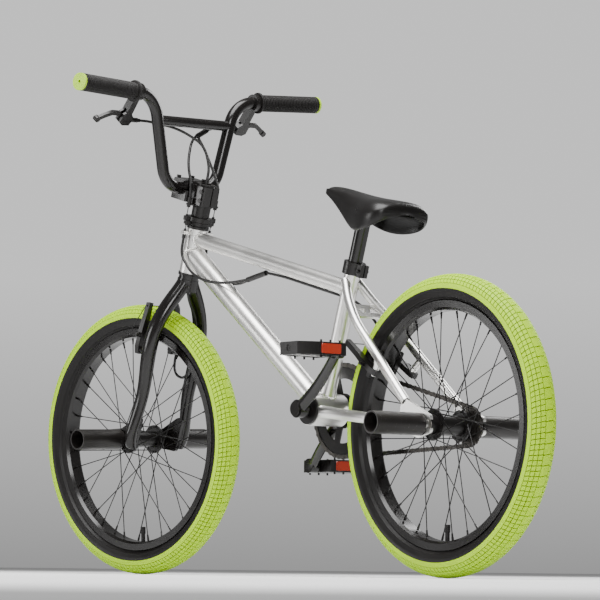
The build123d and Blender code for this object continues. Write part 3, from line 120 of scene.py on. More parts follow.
# ---------------------------------------------------------------- mesh helpers
class Draft:
    """Points and faces of a piece, gathered in millimetres before they become a mesh."""

    def __init__(self):
        self.points, self.faces, self.tones = [], [], []
        self.tone = 0
        self.local = Matrix.Identity(4)

    def row(self, points):
        start = len(self.points)
        self.points += [self.local @ Vector(point) for point in points]
        return list(range(start, len(self.points)))

    def face(self, corners):
        self.faces.append(list(corners))
        self.tones.append(self.tone)

    def skin(self, rows, around=True, loop=False, caps=True):
        """Join rows of the same length; around closes each row, loop joins the last to the first."""
        pairs = list(zip(rows, rows[1:])) + ([(rows[-1], rows[0])] if loop else [])
        for first, second in pairs:
            count = len(first) if around else len(first) - 1
            for index in range(count):
                after = (index + 1) % len(first)
                self.face((first[index], first[after], second[after], second[index]))
        if caps and not loop:
            self.face(rows[0])
            self.face(rows[-1])

    def lathe(self, profile, start=(0, 0, 0), heading=(0, 1, 0), sides=32, closed=False):
        """Turn a profile of (radius, distance along heading); closed makes a ring of a closed profile."""
        along = Vector(heading).normalized()
        across = along.orthogonal().normalized()
        third = along.cross(across)
        origin = Vector(start)
        rows = []
        for index in range(sides):
            angle = 2 * pi * index / sides
            out = across * cos(angle) + third * sin(angle)
            rows.append(self.row([origin + out * radius + along * distance for radius, distance in profile]))
        self.skin(rows, around=closed, loop=True, caps=False)

    def rod(self, start, end, radius, sides=12, chamfer=0.4):
        """A solid round bar with softened ends."""
        length = (Vector(end) - Vector(start)).length
        soft = min(chamfer, radius / 3, length / 3)
        profile = [(0, 0), (radius - soft, 0), (radius, soft),
                   (radius, length - soft), (radius - soft, length), (0, length)]
        self.lathe(profile, start, Vector(end) - Vector(start), sides)

    def sweep(self, points, radius, sides=8):
        """A round tube along points."""
        rows, across = [], None
        for index, point in enumerate(points):
            before = points[max(index - 1, 0)]
            after = points[min(index + 1, len(points) - 1)]
            along = (after - before).normalized()
            across = along.orthogonal() if across is None else across - along * across.dot(along)
            across.normalize()
            third = along.cross(across)
            turns = [2 * pi * k / sides for k in range(sides)]
            rows.append(self.row([point + radius * (across * cos(turn) + third * sin(turn))
                                  for turn in turns]))
        self.skin(rows)

    def slab(self, outline, low, high, chamfer=0.5):
        """A flat plate with softened edges, in the draft's local XY plane."""
        centre = sum((Vector(point) for point in outline), Vector((0, 0))) / len(outline)
        rows = []
        for height, inset in ((low, chamfer), (low + chamfer, 0), (high - chamfer, 0), (high, chamfer)):
            row = []
            for x, y in outline:
                pull = (centre - Vector((x, y))).normalized() * inset
                row.append((x + pull.x, y + pull.y, height))
            rows.append(self.row(row))
        self.skin(rows)

    def mesh(self, name, to_bike=None, smooth=35.0):
        mesh = bpy.data.meshes.new(name)
        mesh.from_pydata([tuple(point) for point in self.points], [], self.faces)
        for polygon, tone in zip(mesh.polygons, self.tones):
            polygon.material_index = tone
        if to_bike is not None:
            mesh.transform(to_bike)
        tidy(mesh, 1e-6 if to_bike is not None else 1e-3)
        shade(mesh, smooth)
        return mesh


def tidy(mesh, reach):
    """Merge doubled points, drop faces of no area and face everything outwards."""
    work = bmesh.new()
    work.from_mesh(mesh)
    bmesh.ops.remove_doubles(work, verts=work.verts, dist=reach)
    bmesh.ops.dissolve_degenerate(work, edges=work.edges, dist=reach / 10)
    bmesh.ops.recalc_face_normals(work, faces=work.faces)
    work.to_mesh(mesh)
    work.free()


def shade(mesh, smooth):
    mesh.shade_smooth()
    mesh.set_sharp_from_angle(angle=radians(smooth))


def stand(mesh, name, body, materials=(), replaces=()):
    """Stand a finished mesh in the scene on its body."""
    mesh.name = name
    piece = bpy.data.objects.new(name, mesh)
    bpy.context.scene.collection.objects.link(piece)
    for material in materials:
        mesh.materials.append(material)
    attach(piece, body)
    if replaces:
        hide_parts(*replaces)
    return piece


# ---------------------------------------------------------------- repeating trees
def new_tree(name, inputs):
    """An empty Geometry Nodes tree with named inputs; gives the tree, its add function and end nodes."""
    tree = bpy.data.node_groups.new(name, "GeometryNodeTree")
    tree.interface.new_socket("Piece", in_out="INPUT", socket_type="NodeSocketGeometry")
    for label, kind, default in inputs:
        socket = tree.interface.new_socket(label, in_out="INPUT", socket_type=kind)
        if default is not None:
            socket.default_value = default
    tree.interface.new_socket("Material", in_out="INPUT", socket_type="NodeSocketMaterial")
    tree.interface.new_socket("Result", in_out="OUTPUT", socket_type="NodeSocketGeometry")

    def add(kind, settings=None, **links):
        node = tree.nodes.new(kind)
        for key, value in (settings or {}).items():
            setattr(node, key, value)
        for key, value in links.items():
            socket = node.inputs[int(key[1:])] if key[0] == "i" and key[1:].isdigit() else node.inputs[key]
            if isinstance(value, bpy.types.NodeSocket):
                tree.links.new(value, socket)
            else:
                socket.default_value = value
        return node

    start = tree.nodes.new("NodeGroupInput")
    return tree, add, start


def end_tree(tree, add, start, instances):
    """Make the copies real, give them their material and hand them on."""
    real = add("GeometryNodeRealizeInstances", Geometry=instances)
    coated = add("GeometryNodeSetMaterial", Geometry=real.outputs[0], Material=start.outputs["Material"])
    end = tree.nodes.new("NodeGroupOutput")
    tree.links.new(coated.outputs[0], end.inputs[0])
    return tree


def round_axle_tree():
    """Copies of a piece turned about the Y axis."""
    tree, add, start = new_tree("copies_round_an_axle", [("Count", "NodeSocketInt", 9)])
    points = add("GeometryNodeMeshLine", Count=start.outputs["Count"], Offset=(0, 0, 0))
    index = add("GeometryNodeInputIndex")
    step = add("ShaderNodeMath", {"operation": "DIVIDE"}, i0=2 * pi, i1=start.outputs["Count"])
    turn = add("ShaderNodeMath", {"operation": "MULTIPLY"}, i0=index.outputs[0], i1=step.outputs[0])
    turned = add("FunctionNodeAxisAngleToRotation", Axis=(0, 1, 0), Angle=turn.outputs[0])
    copies = add("GeometryNodeInstanceOnPoints", Points=points.outputs[0], Instance=start.outputs["Piece"],
                 Rotation=turned.outputs[0])
    return end_tree(tree, add, start, copies.outputs[0])


def along_path_tree():
    """Copies of a piece along a closed path, each laid on the chord to the next point."""
    tree, add, start = new_tree("copies_along_a_path", [
        ("Path", "NodeSocketObject", None), ("Count", "NodeSocketInt", 10), ("Step", "NodeSocketInt", 1),
        ("First", "NodeSocketInt", 0)])
    path = add("GeometryNodeObjectInfo", {"transform_space": "ORIGINAL"}, Object=start.outputs["Path"])
    spaced = add("GeometryNodeResampleCurve", Curve=path.outputs["Geometry"], Count=start.outputs["Count"])
    points = add("GeometryNodeCurveToPoints", {"mode": "EVALUATED"}, Curve=spaced.outputs[0])
    index = add("GeometryNodeInputIndex")
    after = add("ShaderNodeMath", {"operation": "ADD"}, i0=index.outputs[0], i1=1.0)
    wrapped = add("ShaderNodeMath", {"operation": "MODULO"}, i0=after.outputs[0], i1=start.outputs["Count"])
    here = add("GeometryNodeInputPosition")
    there = add("GeometryNodeSampleIndex", {"data_type": "FLOAT_VECTOR", "domain": "POINT"},
                Geometry=points.outputs["Points"], Value=here.outputs[0], Index=wrapped.outputs[0])
    chord = add("ShaderNodeVectorMath", {"operation": "SUBTRACT"}, i0=there.outputs[0], i1=here.outputs[0])
    aimed = add("FunctionNodeAlignRotationToVector", {"axis": "X", "pivot_axis": "AUTO"},
                Vector=chord.outputs[0])
    phase = add("ShaderNodeMath", {"operation": "MODULO"}, i0=index.outputs[0], i1=start.outputs["Step"])
    chosen = add("FunctionNodeCompare", {"data_type": "FLOAT", "operation": "EQUAL"}, i0=phase.outputs[0],
                 i1=start.outputs["First"], Epsilon=0.1)
    copies = add("GeometryNodeInstanceOnPoints", Points=points.outputs["Points"], Selection=chosen.outputs[0],
                 Instance=start.outputs["Piece"], Rotation=aimed.outputs[0])
    return end_tree(tree, add, start, copies.outputs[0])


def in_row_tree():
    """Copies of a piece in a straight row."""
    tree, add, start = new_tree("copies_in_a_row", [("Count", "NodeSocketInt", 5),
                                                    ("Spacing", "NodeSocketVector", None)])
    points = add("GeometryNodeMeshLine", Count=start.outputs["Count"], Offset=start.outputs["Spacing"])
    copies = add("GeometryNodeInstanceOnPoints", Points=points.outputs[0], Instance=start.outputs["Piece"])
    return end_tree(tree, add, start, copies.outputs[0])


TREES = {}


def repeated(tree_maker, draft, to_bike, material, smooth=35.0, **values):
    """Run a repeating tree on a draft and give the result as a plain mesh in the bike's frame."""
    if tree_maker not in TREES:
        TREES[tree_maker] = tree_maker()
    tree = TREES[tree_maker]
    source = draft.mesh("one_of_many", smooth=smooth)
    holder = bpy.data.objects.new("one_of_many", source)
    bpy.context.scene.collection.objects.link(holder)
    modifier = holder.modifiers.new("copies", "NODES")
    modifier.node_group = tree
    names = {item.name: item.identifier for item in tree.interface.items_tree
             if item.item_type == "SOCKET" and item.in_out == "INPUT"}
    modifier[names["Material"]] = material
    for label, value in values.items():
        modifier[names[label]] = value
    graph = bpy.context.evaluated_depsgraph_get()
    made = bpy.data.meshes.new_from_object(holder.evaluated_get(graph), depsgraph=graph)
    holder.modifiers.remove(modifier)
    bpy.data.objects.remove(holder)
    bpy.data.meshes.remove(source)
    made.transform(to_bike)
    if len(made.polygons) == 0:
        raise RuntimeError(f"the tree {tree.name} made nothing")
    return made


def path_curve(points):
    """A closed poly curve for a tree to follow."""
    curve = bpy.data.curves.new("path", "CURVE")
    curve.dimensions = "3D"
    spline = curve.splines.new("POLY")
    spline.points.add(len(points) - 1)
    for target, point in zip(spline.points, points):
        target.co = (*point, 1.0)
    spline.use_cyclic_u = True
    holder = bpy.data.objects.new("path", curve)
    bpy.context.scene.collection.objects.link(holder)
    return holder


def drop_curve(holder):
    curve = holder.data
    bpy.data.objects.remove(holder)
    bpy.data.curves.remove(curve)


# ---------------------------------------------------------------- finishes
def surface_marks_group():
    """Grain, broad tone, fine scratches and settled dust, shared by every finish."""
    group = bpy.data.node_groups.new("surface_marks", "ShaderNodeTree")
    face = group.interface
    face.new_socket("Vector", in_out="INPUT", socket_type="NodeSocketVector")
    for label, default in (("Grain Scale", 900.0), ("Tone Scale", 9.0), ("Scratch Scale", 60.0)):
        face.new_socket(label, in_out="INPUT", socket_type="NodeSocketFloat").default_value = default
    for label in ("Grain", "Tone", "Scratches", "Dust"):
        face.new_socket(label, in_out="OUTPUT", socket_type="NodeSocketFloat")
    nodes, link = group.nodes, group.links.new
    start, end = nodes.new("NodeGroupInput"), nodes.new("NodeGroupOutput")

    def noise(scale, detail, source, roughness=0.55):
        node = nodes.new("ShaderNodeTexNoise")
        node.inputs["Detail"].default_value = detail
        node.inputs["Roughness"].default_value = roughness
        link(scale, node.inputs["Scale"])
        link(source, node.inputs["Vector"])
        return node.outputs["Fac"]

    def span(value, low, high, out_low=0.0, out_high=1.0):
        node = nodes.new("ShaderNodeMapRange")
        for index, number in enumerate((low, high, out_low, out_high), 1):
            node.inputs[index].default_value = number
        link(value, node.inputs[0])
        return node.outputs[0]

    def times(first, second):
        node = nodes.new("ShaderNodeMath")
        node.operation = "MULTIPLY"
        link(first, node.inputs[0])
        link(second, node.inputs[1])
        return node.outputs[0]

    link(noise(start.outputs["Grain Scale"], 2.0, start.outputs["Vector"]), end.inputs["Grain"])
    tone = noise(start.outputs["Tone Scale"], 4.0, start.outputs["Vector"])
    link(tone, end.inputs["Tone"])
    stretch = nodes.new("ShaderNodeMapping")
    stretch.inputs["Scale"].default_value = (1.0, 9.0, 1.6)
    stretch.inputs["Rotation"].default_value = (0.4, 0.2, 0.7)
    link(start.outputs["Vector"], stretch.inputs["Vector"])
    lines = span(noise(start.outputs["Scratch Scale"], 3.0, stretch.outputs["Vector"], 0.7), 0.66, 0.74)
    patches = span(tone, 0.48, 0.62)
    link(times(lines, patches), end.inputs["Scratches"])
    normal = nodes.new("ShaderNodeNewGeometry")
    split = nodes.new("ShaderNodeSeparateXYZ")
    link(normal.outputs["Normal"], split.inputs[0])
    link(times(span(split.outputs["Z"], 0.2, 1.0), span(tone, 0.35, 0.7)), end.inputs["Dust"])
    return group


DUST_SHADE = (0.42, 0.38, 0.32)
FULL_DARK, FULL_LIGHT = 0.3, 0.7     # the tone that gives a finish its first and its last roughness


def finish_of(name, dark, light, metallic=0.0, roughness=(0.3, 0.45), bump=0.05, grain=900.0, scratch=0.0,
              bare=(0.5, 0.5, 0.5), dust=0.0, coat=0.0, coat_roughness=0.1, specular=0.5, tone=9.0,
              depth=0.0003):
    """One material: two tones, grain, scratches and dust on a Principled BSDF."""
    material = bpy.data.materials.new(name)
    material.use_nodes = True
    nodes, link = material.node_tree.nodes, material.node_tree.links.new
    shader = nodes["Principled BSDF"]
    shader.inputs["Metallic"].default_value = metallic
    shader.inputs["Coat Weight"].default_value = coat
    shader.inputs["Coat Roughness"].default_value = coat_roughness
    shader.inputs["Specular IOR Level"].default_value = specular
    where = nodes.new("ShaderNodeTexCoord")
    marks = nodes.new("ShaderNodeGroup")
    marks.node_tree = bpy.data.node_groups["surface_marks"]
    marks.inputs["Grain Scale"].default_value = grain
    marks.inputs["Tone Scale"].default_value = tone
    link(where.outputs["Object"], marks.inputs["Vector"])

    def blend(factor, first, second):
        node = nodes.new("ShaderNodeMix")
        node.data_type = "RGBA"
        link(factor, node.inputs["Factor"])
        for value, socket in ((first, node.inputs[6]), (second, node.inputs[7])):
            if isinstance(value, bpy.types.NodeSocket):
                link(value, socket)
            else:
                socket.default_value = (*value, 1.0)
        return node.outputs[2]

    def scaled(value, amount):
        node = nodes.new("ShaderNodeMath")
        node.operation = "MULTIPLY"
        link(value, node.inputs[0])
        node.inputs[1].default_value = amount
        return node.outputs[0]

    colour = blend(marks.outputs["Tone"], dark, light)
    if scratch:
        colour = blend(scaled(marks.outputs["Scratches"], scratch), colour, bare)
    if dust:
        colour = blend(scaled(marks.outputs["Dust"], dust), colour, DUST_SHADE)
    link(colour, shader.inputs["Base Color"])
    rough = nodes.new("ShaderNodeMapRange")
    rough.inputs[1].default_value, rough.inputs[2].default_value = FULL_DARK, FULL_LIGHT
    rough.inputs[3].default_value, rough.inputs[4].default_value = roughness
    link(marks.outputs["Tone"], rough.inputs[0])
    link(rough.outputs[0], shader.inputs["Roughness"])
    relief = nodes.new("ShaderNodeBump")
    relief.inputs["Strength"].default_value = bump
    relief.inputs["Distance"].default_value = depth
    link(marks.outputs["Grain"], relief.inputs["Height"])
    link(relief.outputs[0], shader.inputs["Normal"])
    return material


FINISHES = {}
BARE_ALLOY = (0.42, 0.41, 0.4)


def make_finishes():
    colours = bpy.context.scene.bike_colours
    surface_marks_group()
    lime = Vector(colours.lime)
    silver = Vector(colours.silver)
    black = Vector(colours.black)
    made = {
        "frame_silver": dict(
            dark=silver * 0.86, light=silver, metallic=1.0, roughness=(0.3, 0.38), bump=0.04,
            grain=1400, scratch=0.06, bare=(0.55, 0.53, 0.5), dust=0.015),
        "gloss_black": dict(
            dark=black * 0.8, light=black * 1.3, roughness=(0.16, 0.26), coat=0.06, bump=0.04,
            specular=0.34, scratch=0.15, bare=(0.12, 0.11, 0.1), dust=0.01),
        "satin_black_alloy": dict(
            dark=black * 0.9, light=black * 1.5, metallic=0.2, roughness=(0.26, 0.38), bump=0.1,
            grain=1800, scratch=0.35, bare=(0.3, 0.29, 0.28), dust=0.02, specular=0.4),
        "worn_peg": dict(
            dark=black * 1.6, light=black * 3.0, metallic=0.35, roughness=(0.26, 0.4), bump=0.15,
            scratch=0.7, bare=BARE_ALLOY, dust=0.04),
        "tyre_lime": dict(
            dark=lime * 0.9, light=lime, roughness=(0.5, 0.64), bump=0.14, grain=1500, dust=0.006,
            tone=24, specular=0.2),
        # the grooves' floor under the blocks: lime darkened to paint the shade that falls into the grooves
        "tyre_lime_groove_painted_shade": dict(
            dark=lime * 0.2, light=lime * 0.3, roughness=(0.55, 0.7), bump=0.2, tone=24, specular=0.15),
        "tyre_black": dict(
            dark=black * 0.75, light=black * 1.25, roughness=(0.36, 0.5), bump=0.2, grain=1200,
            dust=0.012, tone=18, specular=0.2),
        "rubber_black": dict(
            dark=black * 0.9, light=black * 1.4, roughness=(0.42, 0.56), bump=0.25, grain=1600,
            dust=0.01, specular=0.24),
        "saddle_cover": dict(
            dark=black * 0.65, light=black * 0.95, roughness=(0.26, 0.36), bump=0.2, grain=1100,
            dust=0.003, specular=0.28, tone=14, depth=0.0002),
        "moulded_black": dict(
            dark=black * 0.8, light=black * 1.3, roughness=(0.28, 0.42), bump=0.12, grain=700,
            dust=0.02, specular=0.35),
        "plug_lime": dict(
            dark=lime * 0.8, light=lime, roughness=(0.35, 0.5), bump=0.1, grain=800, dust=0.03),
        "zinc_steel": dict(
            dark=(0.5, 0.49, 0.47), light=(0.66, 0.65, 0.62), metallic=1.0, roughness=(0.22, 0.36),
            bump=0.06, grain=1600, scratch=0.3, bare=(0.3, 0.27, 0.24)),
        "oiled_chain": dict(
            dark=(0.02, 0.018, 0.015), light=(0.06, 0.055, 0.05), metallic=0.75, roughness=(0.28, 0.45),
            bump=0.12, grain=900, scratch=0.5, bare=(0.3, 0.28, 0.26)),
        "spoke_black": dict(
            dark=black * 0.8, light=black * 1.4, metallic=0.2, roughness=(0.25, 0.4), bump=0.03,
            specular=0.3),
        "cable_black": dict(
            dark=black * 0.7, light=black * 1.1, roughness=(0.32, 0.44), bump=0.06, grain=500,
            dust=0.01, specular=0.4),
        "reflector_red": dict(
            dark=(0.22, 0.012, 0.003), light=(0.42, 0.03, 0.006), roughness=(0.12, 0.2), bump=0.1,
            grain=420, coat=0.6, coat_roughness=0.05),
        "weld_silver": dict(
            dark=silver * 0.7, light=silver * 0.92, metallic=1.0, roughness=(0.24, 0.36), bump=0.1),
    }
    for name, values in made.items():
        FINISHES[name] = finish_of(name, **values)


CAD_FINISH = {                  # finish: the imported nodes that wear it
    "frame_silver": ("head_tube", "top_tube", "down_tube", "seat_tube", "bottom_bracket_shell", "chain_stays",
                     "seat_stays", "rear_dropouts", "stay_bridge"),
    "gloss_black": ("fork", "handlebar", "seat_post", "stem_body", "stem_clamp_plate", "crank_arm_left",
                    "crank_arm_right", "chainring", "front_rim", "rear_rim"),
    "satin_black_alloy": ("headset_cups", "headset_spacer", "seat_clamp", "bottom_bracket_cups", "front_hub",
                          "rear_hub", "gyro_upper", "gyro_lower", "lever_bracket_left", "lever_bracket_right",
                          "brake_lever_left", "brake_lever_right", "stem_bolts"),
    "moulded_black": ("front_brake_arm_left", "front_brake_arm_right", "rear_brake_arm_left",
                      "rear_brake_arm_right", "pedal_left", "pedal_right", "saddle_shell"),
    "worn_peg": ("front_pegs", "rear_pegs"),
    "rubber_black": ("front_inner_tube", "rear_inner_tube"),
    "plug_lime": ("bar_end_plugs",),
    "zinc_steel": ("front_axle", "rear_axle", "crank_spindle", "front_hub_bearings",
                   "rear_hub_bearings"),
    "oiled_chain": ("freewheel",),
    "cable_black": ("steering_cables", "rear_brake_cable"),
}


CREASE = radians(32)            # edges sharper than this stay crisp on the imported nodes
WELD_REACH = 1e-6


def dress_cad():
    """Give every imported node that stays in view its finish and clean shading."""
    for finish, nodes in CAD_FINISH.items():
        for name in nodes:
            node = frame["nodes"][name]
            node.data.materials.clear()
            node.data.materials.append(FINISHES[finish])
            node.data.shade_smooth()
            weld = node.modifiers.new("weld", "WELD")
            weld.merge_threshold = WELD_REACH
            split = node.modifiers.new("edges", "EDGE_SPLIT")
            split.split_angle = CREASE
            split.use_edge_sharp = False


# ---------------------------------------------------------------- tyres
BLOCK_GAP = 0.13                # degrees of the wheel left clear at each end of a tread block
MM_PER_DEGREE_ACROSS, MM_PER_DEGREE_ROUND = 0.44, 4.4


def section_point(angle, inset):
    """A point of the tyre's section: angle from straight out, and depth under the outer skin."""
    return (SECTION_RADIUS + (SECTION_HIGH - inset) * cos(angle), (SECTION_WIDE - inset) * sin(angle))


def carcass_profile():
    """The closed section of the casing, with a tone for each step: 0 black, 1 groove lime darkened as painted
    shade in the grooves, 2 lime.
    """
    steps = [(-144, 0.7), (-132, 0.7), (-129, 0.15), (-126, 0.15), (-123, 0.7), (-112, 0.6), (-102, 0.5),
             (-96, 0.45), (-93, 0.35), (-92, 0.0), (-84, 0.0), (-73, 0.0), (-71, 1.0),
             (-62, 1.2), (-54, 1.3), (-45, 1.4)]
    steps += [(angle, TREAD_DEPTH) for angle in range(-37, 38, 6)]
    steps += [(-angle, inset) for angle, inset in reversed(steps[:16])]
    points = [section_point(radians(angle), inset) for angle, inset in steps]
    tones = [2 if 72 <= abs(angle) <= 93 else 1 if abs(angle) < 72 else 0 for angle, _ in steps]
    inner = [section_point(radians(angle), 3.4) for angle in range(140, -141, -20)]
    points += [(208.4, 14.3), (202.0, 14.3), (202.0, 11.6), (208.0, 11.4)] + inner
    points += [(208.0, -11.4), (202.0, -11.6), (202.0, -14.3), (208.4, -14.3)]
    tones += [0] * (len(points) - len(tones))
    return points, tones


def add_carcass(draft, sides=176):
    points, tones = carcass_profile()
    rows = []
    for index in range(sides):
        angle = 2 * pi * index / sides
        rows.append(draft.row([(radius * cos(angle), across, radius * sin(angle))
                               for radius, across in points]))
    for first, second in zip(rows, rows[1:] + rows[:1]):
        for index in range(len(points)):
            after = (index + 1) % len(points)
            draft.tone = max(tones[index], tones[after]) if tones[index] and tones[after] else 0
            if {tones[index], tones[after]} == {1, 2}:
                draft.tone = 1
            draft.face((first[index], first[after], second[after], second[index]))
    draft.tone = 0


def add_block(draft, low, high, start, end, slant=0.0, steps=1, proud=0.0):
    """A tread block between two section angles and two wheel angles, all in degrees."""
    rings = []
    for inset, pull in ((TREAD_DEPTH + 0.3, 0.0), (0.32, 0.12), (proud, 0.4)):
        pull_angle = pull / MM_PER_DEGREE_ACROSS
        pull_turn = pull / MM_PER_DEGREE_ROUND
        sides = []
        for at, sign in ((start, 1), (end, -1)):
            row = []
            for step in range(steps + 1):
                share = step / steps
                angle = (low + pull_angle) + (high - low - 2 * pull_angle) * share
                radius, across = section_point(radians(angle), inset)
                turn = radians(at + sign * pull_turn + slant * (share - 0.5))
                row.append((radius * cos(turn), across, radius * sin(turn)))
            sides.append(draft.row(row))
        rings.append(sides[0] + sides[1][::-1])
    draft.skin(rings, caps=False)
    first, second = rings[-1][:steps + 1], rings[-1][steps + 1:][::-1]
    for index in range(steps):
        draft.face((first[index], first[index + 1], second[index + 1], second[index]))


def tread_pitch(pitches):
    """The blocks of one pitch of tread."""
    draft = Draft()
    pitch = 360.0 / pitches
    half = pitch / 2
    gap = BLOCK_GAP
    add_block(draft, -17.2, 17.2, gap, pitch - gap, slant=0.7, steps=4)
    for side in (1, -1):
        for index in range(2):
            start = index * half
            for low, high, shift in ((19.2, 35.8, 0.35), (37.8, 53.0, 0.75)):
                bounds = sorted((side * low, side * high))
                add_block(draft, *bounds, start + shift + gap, start + shift + half - gap,
                          slant=0.4 * side, steps=2)
            bounds = sorted((side * 55.0, side * 71.5))
            add_block(draft, *bounds, start + 1.2 + gap, start + 1.2 + half - 1.5 * gap,
                      slant=0.6 * side, steps=2)
    return draft


# ---------------------------------------------------------------- spokes
SPOKES_IN_SET = 4               # outward and inward heads, leading and trailing
SETS_PER_WHEEL = 9
CROSS_ANGLE = radians(60)       # between a spoke's hole in the hub and its hole in the rim
SPOKE_RADIUS = 0.95
NIPPLE_PROFILE = [(0, 0), (1.6, 0), (1.7, 5.5), (2.0, 6.5), (2.0, 11.5), (0, 12)]


def spoke_set(flanges):
    """The first four spokes of a wheel laced three cross, with their heads and nipples."""
    draft = Draft()
    for index in range(SPOKES_IN_SET):
        outward = 1 if index % 2 == 0 else -1
        leading = 1 if index // 2 == 0 else -1
        rim_angle = radians(10 * index + 5)
        hub_angle = rim_angle + leading * CROSS_ANGLE
        flange = flanges[0 if outward > 0 else 1]
        face = outward * (3.9 if leading > 0 else -2.8)
        hole = Vector((HUB_HOLE_RADIUS * cos(hub_angle), 0, HUB_HOLE_RADIUS * sin(hub_angle)))
        bend = hole + Y * (flange + face)
        seat = Vector((RIM_SEAT * cos(rim_angle), outward * 2.5, RIM_SEAT * sin(rim_angle)))
        run = (seat - bend).normalized()
        head = hole + Y * (flange - face * 0.55)
        draft.sweep([head, hole + Y * (flange + face * 0.8), bend + run * 1.6, seat], SPOKE_RADIUS, sides=6)
        draft.rod(head + Y * outward * 0.2, head - Y * (1 if face > 0 else -1) * 0.9, 1.8, sides=6)
        draft.lathe(NIPPLE_PROFILE, seat - run * NIPPLE_PROFILE[-1][1], run, sides=6)
    return draft


# ---------------------------------------------------------------- chain
RING_STEPS, FREEWHEEL_STEPS = 120, 60    # points of the pitch line round each sprocket
PLATE_HALF_HEIGHT, PLATE_WAIST = 4.1, 2.7
PIN_RADIUS, ROLLER_RADIUS = 1.7, 3.8


def chain_points():
    """The chain's pitch line round both sprockets, in the crank's frame, starting at a tooth gap."""
    big = CHAIN_PITCH / (2 * sin(pi / RING_TEETH))
    small = CHAIN_PITCH / (2 * sin(pi / FREEWHEEL_TEETH))
    rear = (joint_at("rear_wheel_spin") - joint_at("crank_spin")) / MM
    span = hypot(rear.x, rear.z)
    tilt = atan2(-rear.z, -rear.x)
    half = acos((big - small) / span)
    upper, lower = tilt + pi - half, tilt - pi + half
    points = []
    for index in range(RING_STEPS):
        angle = lower + (upper - lower) * index / RING_STEPS
        points.append((big * cos(angle), big * sin(angle)))
    for index in range(FREEWHEEL_STEPS + 1):
        angle = upper + (2 * half) * index / FREEWHEEL_STEPS
        points.append((rear.x + small * cos(angle), rear.z + small * sin(angle)))
    return [(x, -CHAIN_LINE, z) for x, z in points]


def link_outline(half_height, waist):
    """The figure-eight outline of one side plate, from pin to pin along X."""
    outline = []
    for centre, first in ((CHAIN_PITCH, -pi / 2), (0.0, pi / 2)):
        for index in range(5):
            angle = first + pi * index / 4
            outline.append((centre + half_height * cos(angle) * 0.95, half_height * sin(angle)))
        outline.append((CHAIN_PITCH / 2, waist if centre else -waist))
    return outline


def chain_link(outer):
    """One link: two side plates, with pins for an outer link and rollers for an inner one."""
    draft = Draft()
    low, high = (2.35, 3.0) if outer else (1.55, 2.25)
    for side in (1, -1):
        draft.local = Matrix.Rotation(pi / 2, 4, "X")
        draft.slab(link_outline(PLATE_HALF_HEIGHT, PLATE_WAIST), *sorted((side * low, side * high)),
                   chamfer=0.15)
    draft.local = Matrix.Identity(4)
    reach = 3.4 if outer else 1.5
    for at in (0.0, CHAIN_PITCH):
        draft.rod((at, -reach, 0), (at, reach, 0), PIN_RADIUS if outer else ROLLER_RADIUS, sides=10,
                  chamfer=0.2)
    return draft


# ---------------------------------------------------------------- saddle
SADDLE_STATIONS = (
    # x, half width, crown height, side height, lip height
    (109.5, 6.0, 37.0, 34.0, 31.0),
    (104.0, 12.0, 41.5, 35.0, 29.0),
    (90.0, 17.0, 45.5, 34.0, 26.0),
    (66.0, 20.5, 46.2, 30.0, 16.0),
    (38.0, 25.0, 44.6, 23.0, 1.0),
    (5.0, 34.0, 41.8, 14.0, -15.0),
    (-28.0, 48.0, 40.6, 10.0, -22.0),
    (-60.0, 60.5, 41.4, 12.0, -18.0),
    (-88.0, 63.8, 42.0, 16.0, -8.0),
    (-106.0, 57.0, 39.5, 20.0, 4.0),
    (-115.5, 42.0, 34.0, 23.0, 13.0),
)


def saddle_rows(draft):
    """Closed sections of the padded skin: over the crown, round the lip and back under."""
    rows = []
    for x, half, crown, side, lip in SADDLE_STATIONS:
        wall = min(7.5, half * 0.42)
        under = max(lip + 6.0, crown - 15.0)
        over = [(0.0, crown), (0.45 * half, crown - 0.8), (0.78 * half, crown - 4.5),
                (0.97 * half, side + 6.0), (half, side - 2.0), (0.99 * half, (side + lip) / 2 - 2),
                (0.95 * half, lip + 1.0)]
        beneath = [(0.95 * half - wall * 0.55, lip), (half - wall, lip + 4.0),
                   (half - wall * 1.15, (under + lip) / 2 + 2.0), (0.62 * half - 1.0, under - 1.0),
                   (0.0, under)]
        left = over + beneath
        right = [(-y, z) for y, z in reversed(left[1:-1])]
        rows.append(draft.row([(x, y, z) for y, z in left + right]))
    return rows


# ---------------------------------------------------------------- welds
HEAD_TUBE_RADIUS, SEAT_TUBE_RADIUS, BRACKET_RADIUS = 19.2, 14.5, 28.7
TOP_TUBE_RADIUS, DOWN_TUBE_RADIUS, SEAT_TUBE_FOOT_RADIUS = 14.3, 19.5, 14.8
TOP_TUBE_UP_HEAD, DOWN_TUBE_UP_HEAD = 399.4, 371.0       # along the head tube from the steering joint
TOP_TUBE_REAR_HEIGHT = 500.0                              # above the ground, where it meets the seat tube


def saddle_cut(axis_point, axis, radius, hit_point, hit_axis, hit_radius, steps=72):
    """The closed line where a tube's outside meets the tube that it is mitred to."""
    across = axis.orthogonal().normalized()
    third = axis.cross(across)
    points = []
    for index in range(steps):
        angle = 2 * pi * index / steps
        start = axis_point + (across * cos(angle) + third * sin(angle)) * radius
        offset = start - hit_point
        flat_run = axis - hit_axis * axis.dot(hit_axis)
        flat_off = offset - hit_axis * offset.dot(hit_axis)
        a, b, c = flat_run.dot(flat_run), 2 * flat_run.dot(flat_off), flat_off.dot(flat_off) - hit_radius ** 2
        root = b * b - 4 * a * c        # below nought where the tube's flank passes the other by
        points.append(start + axis * ((-b - sqrt(max(root, 0.0))) / (2 * a)))
    return points


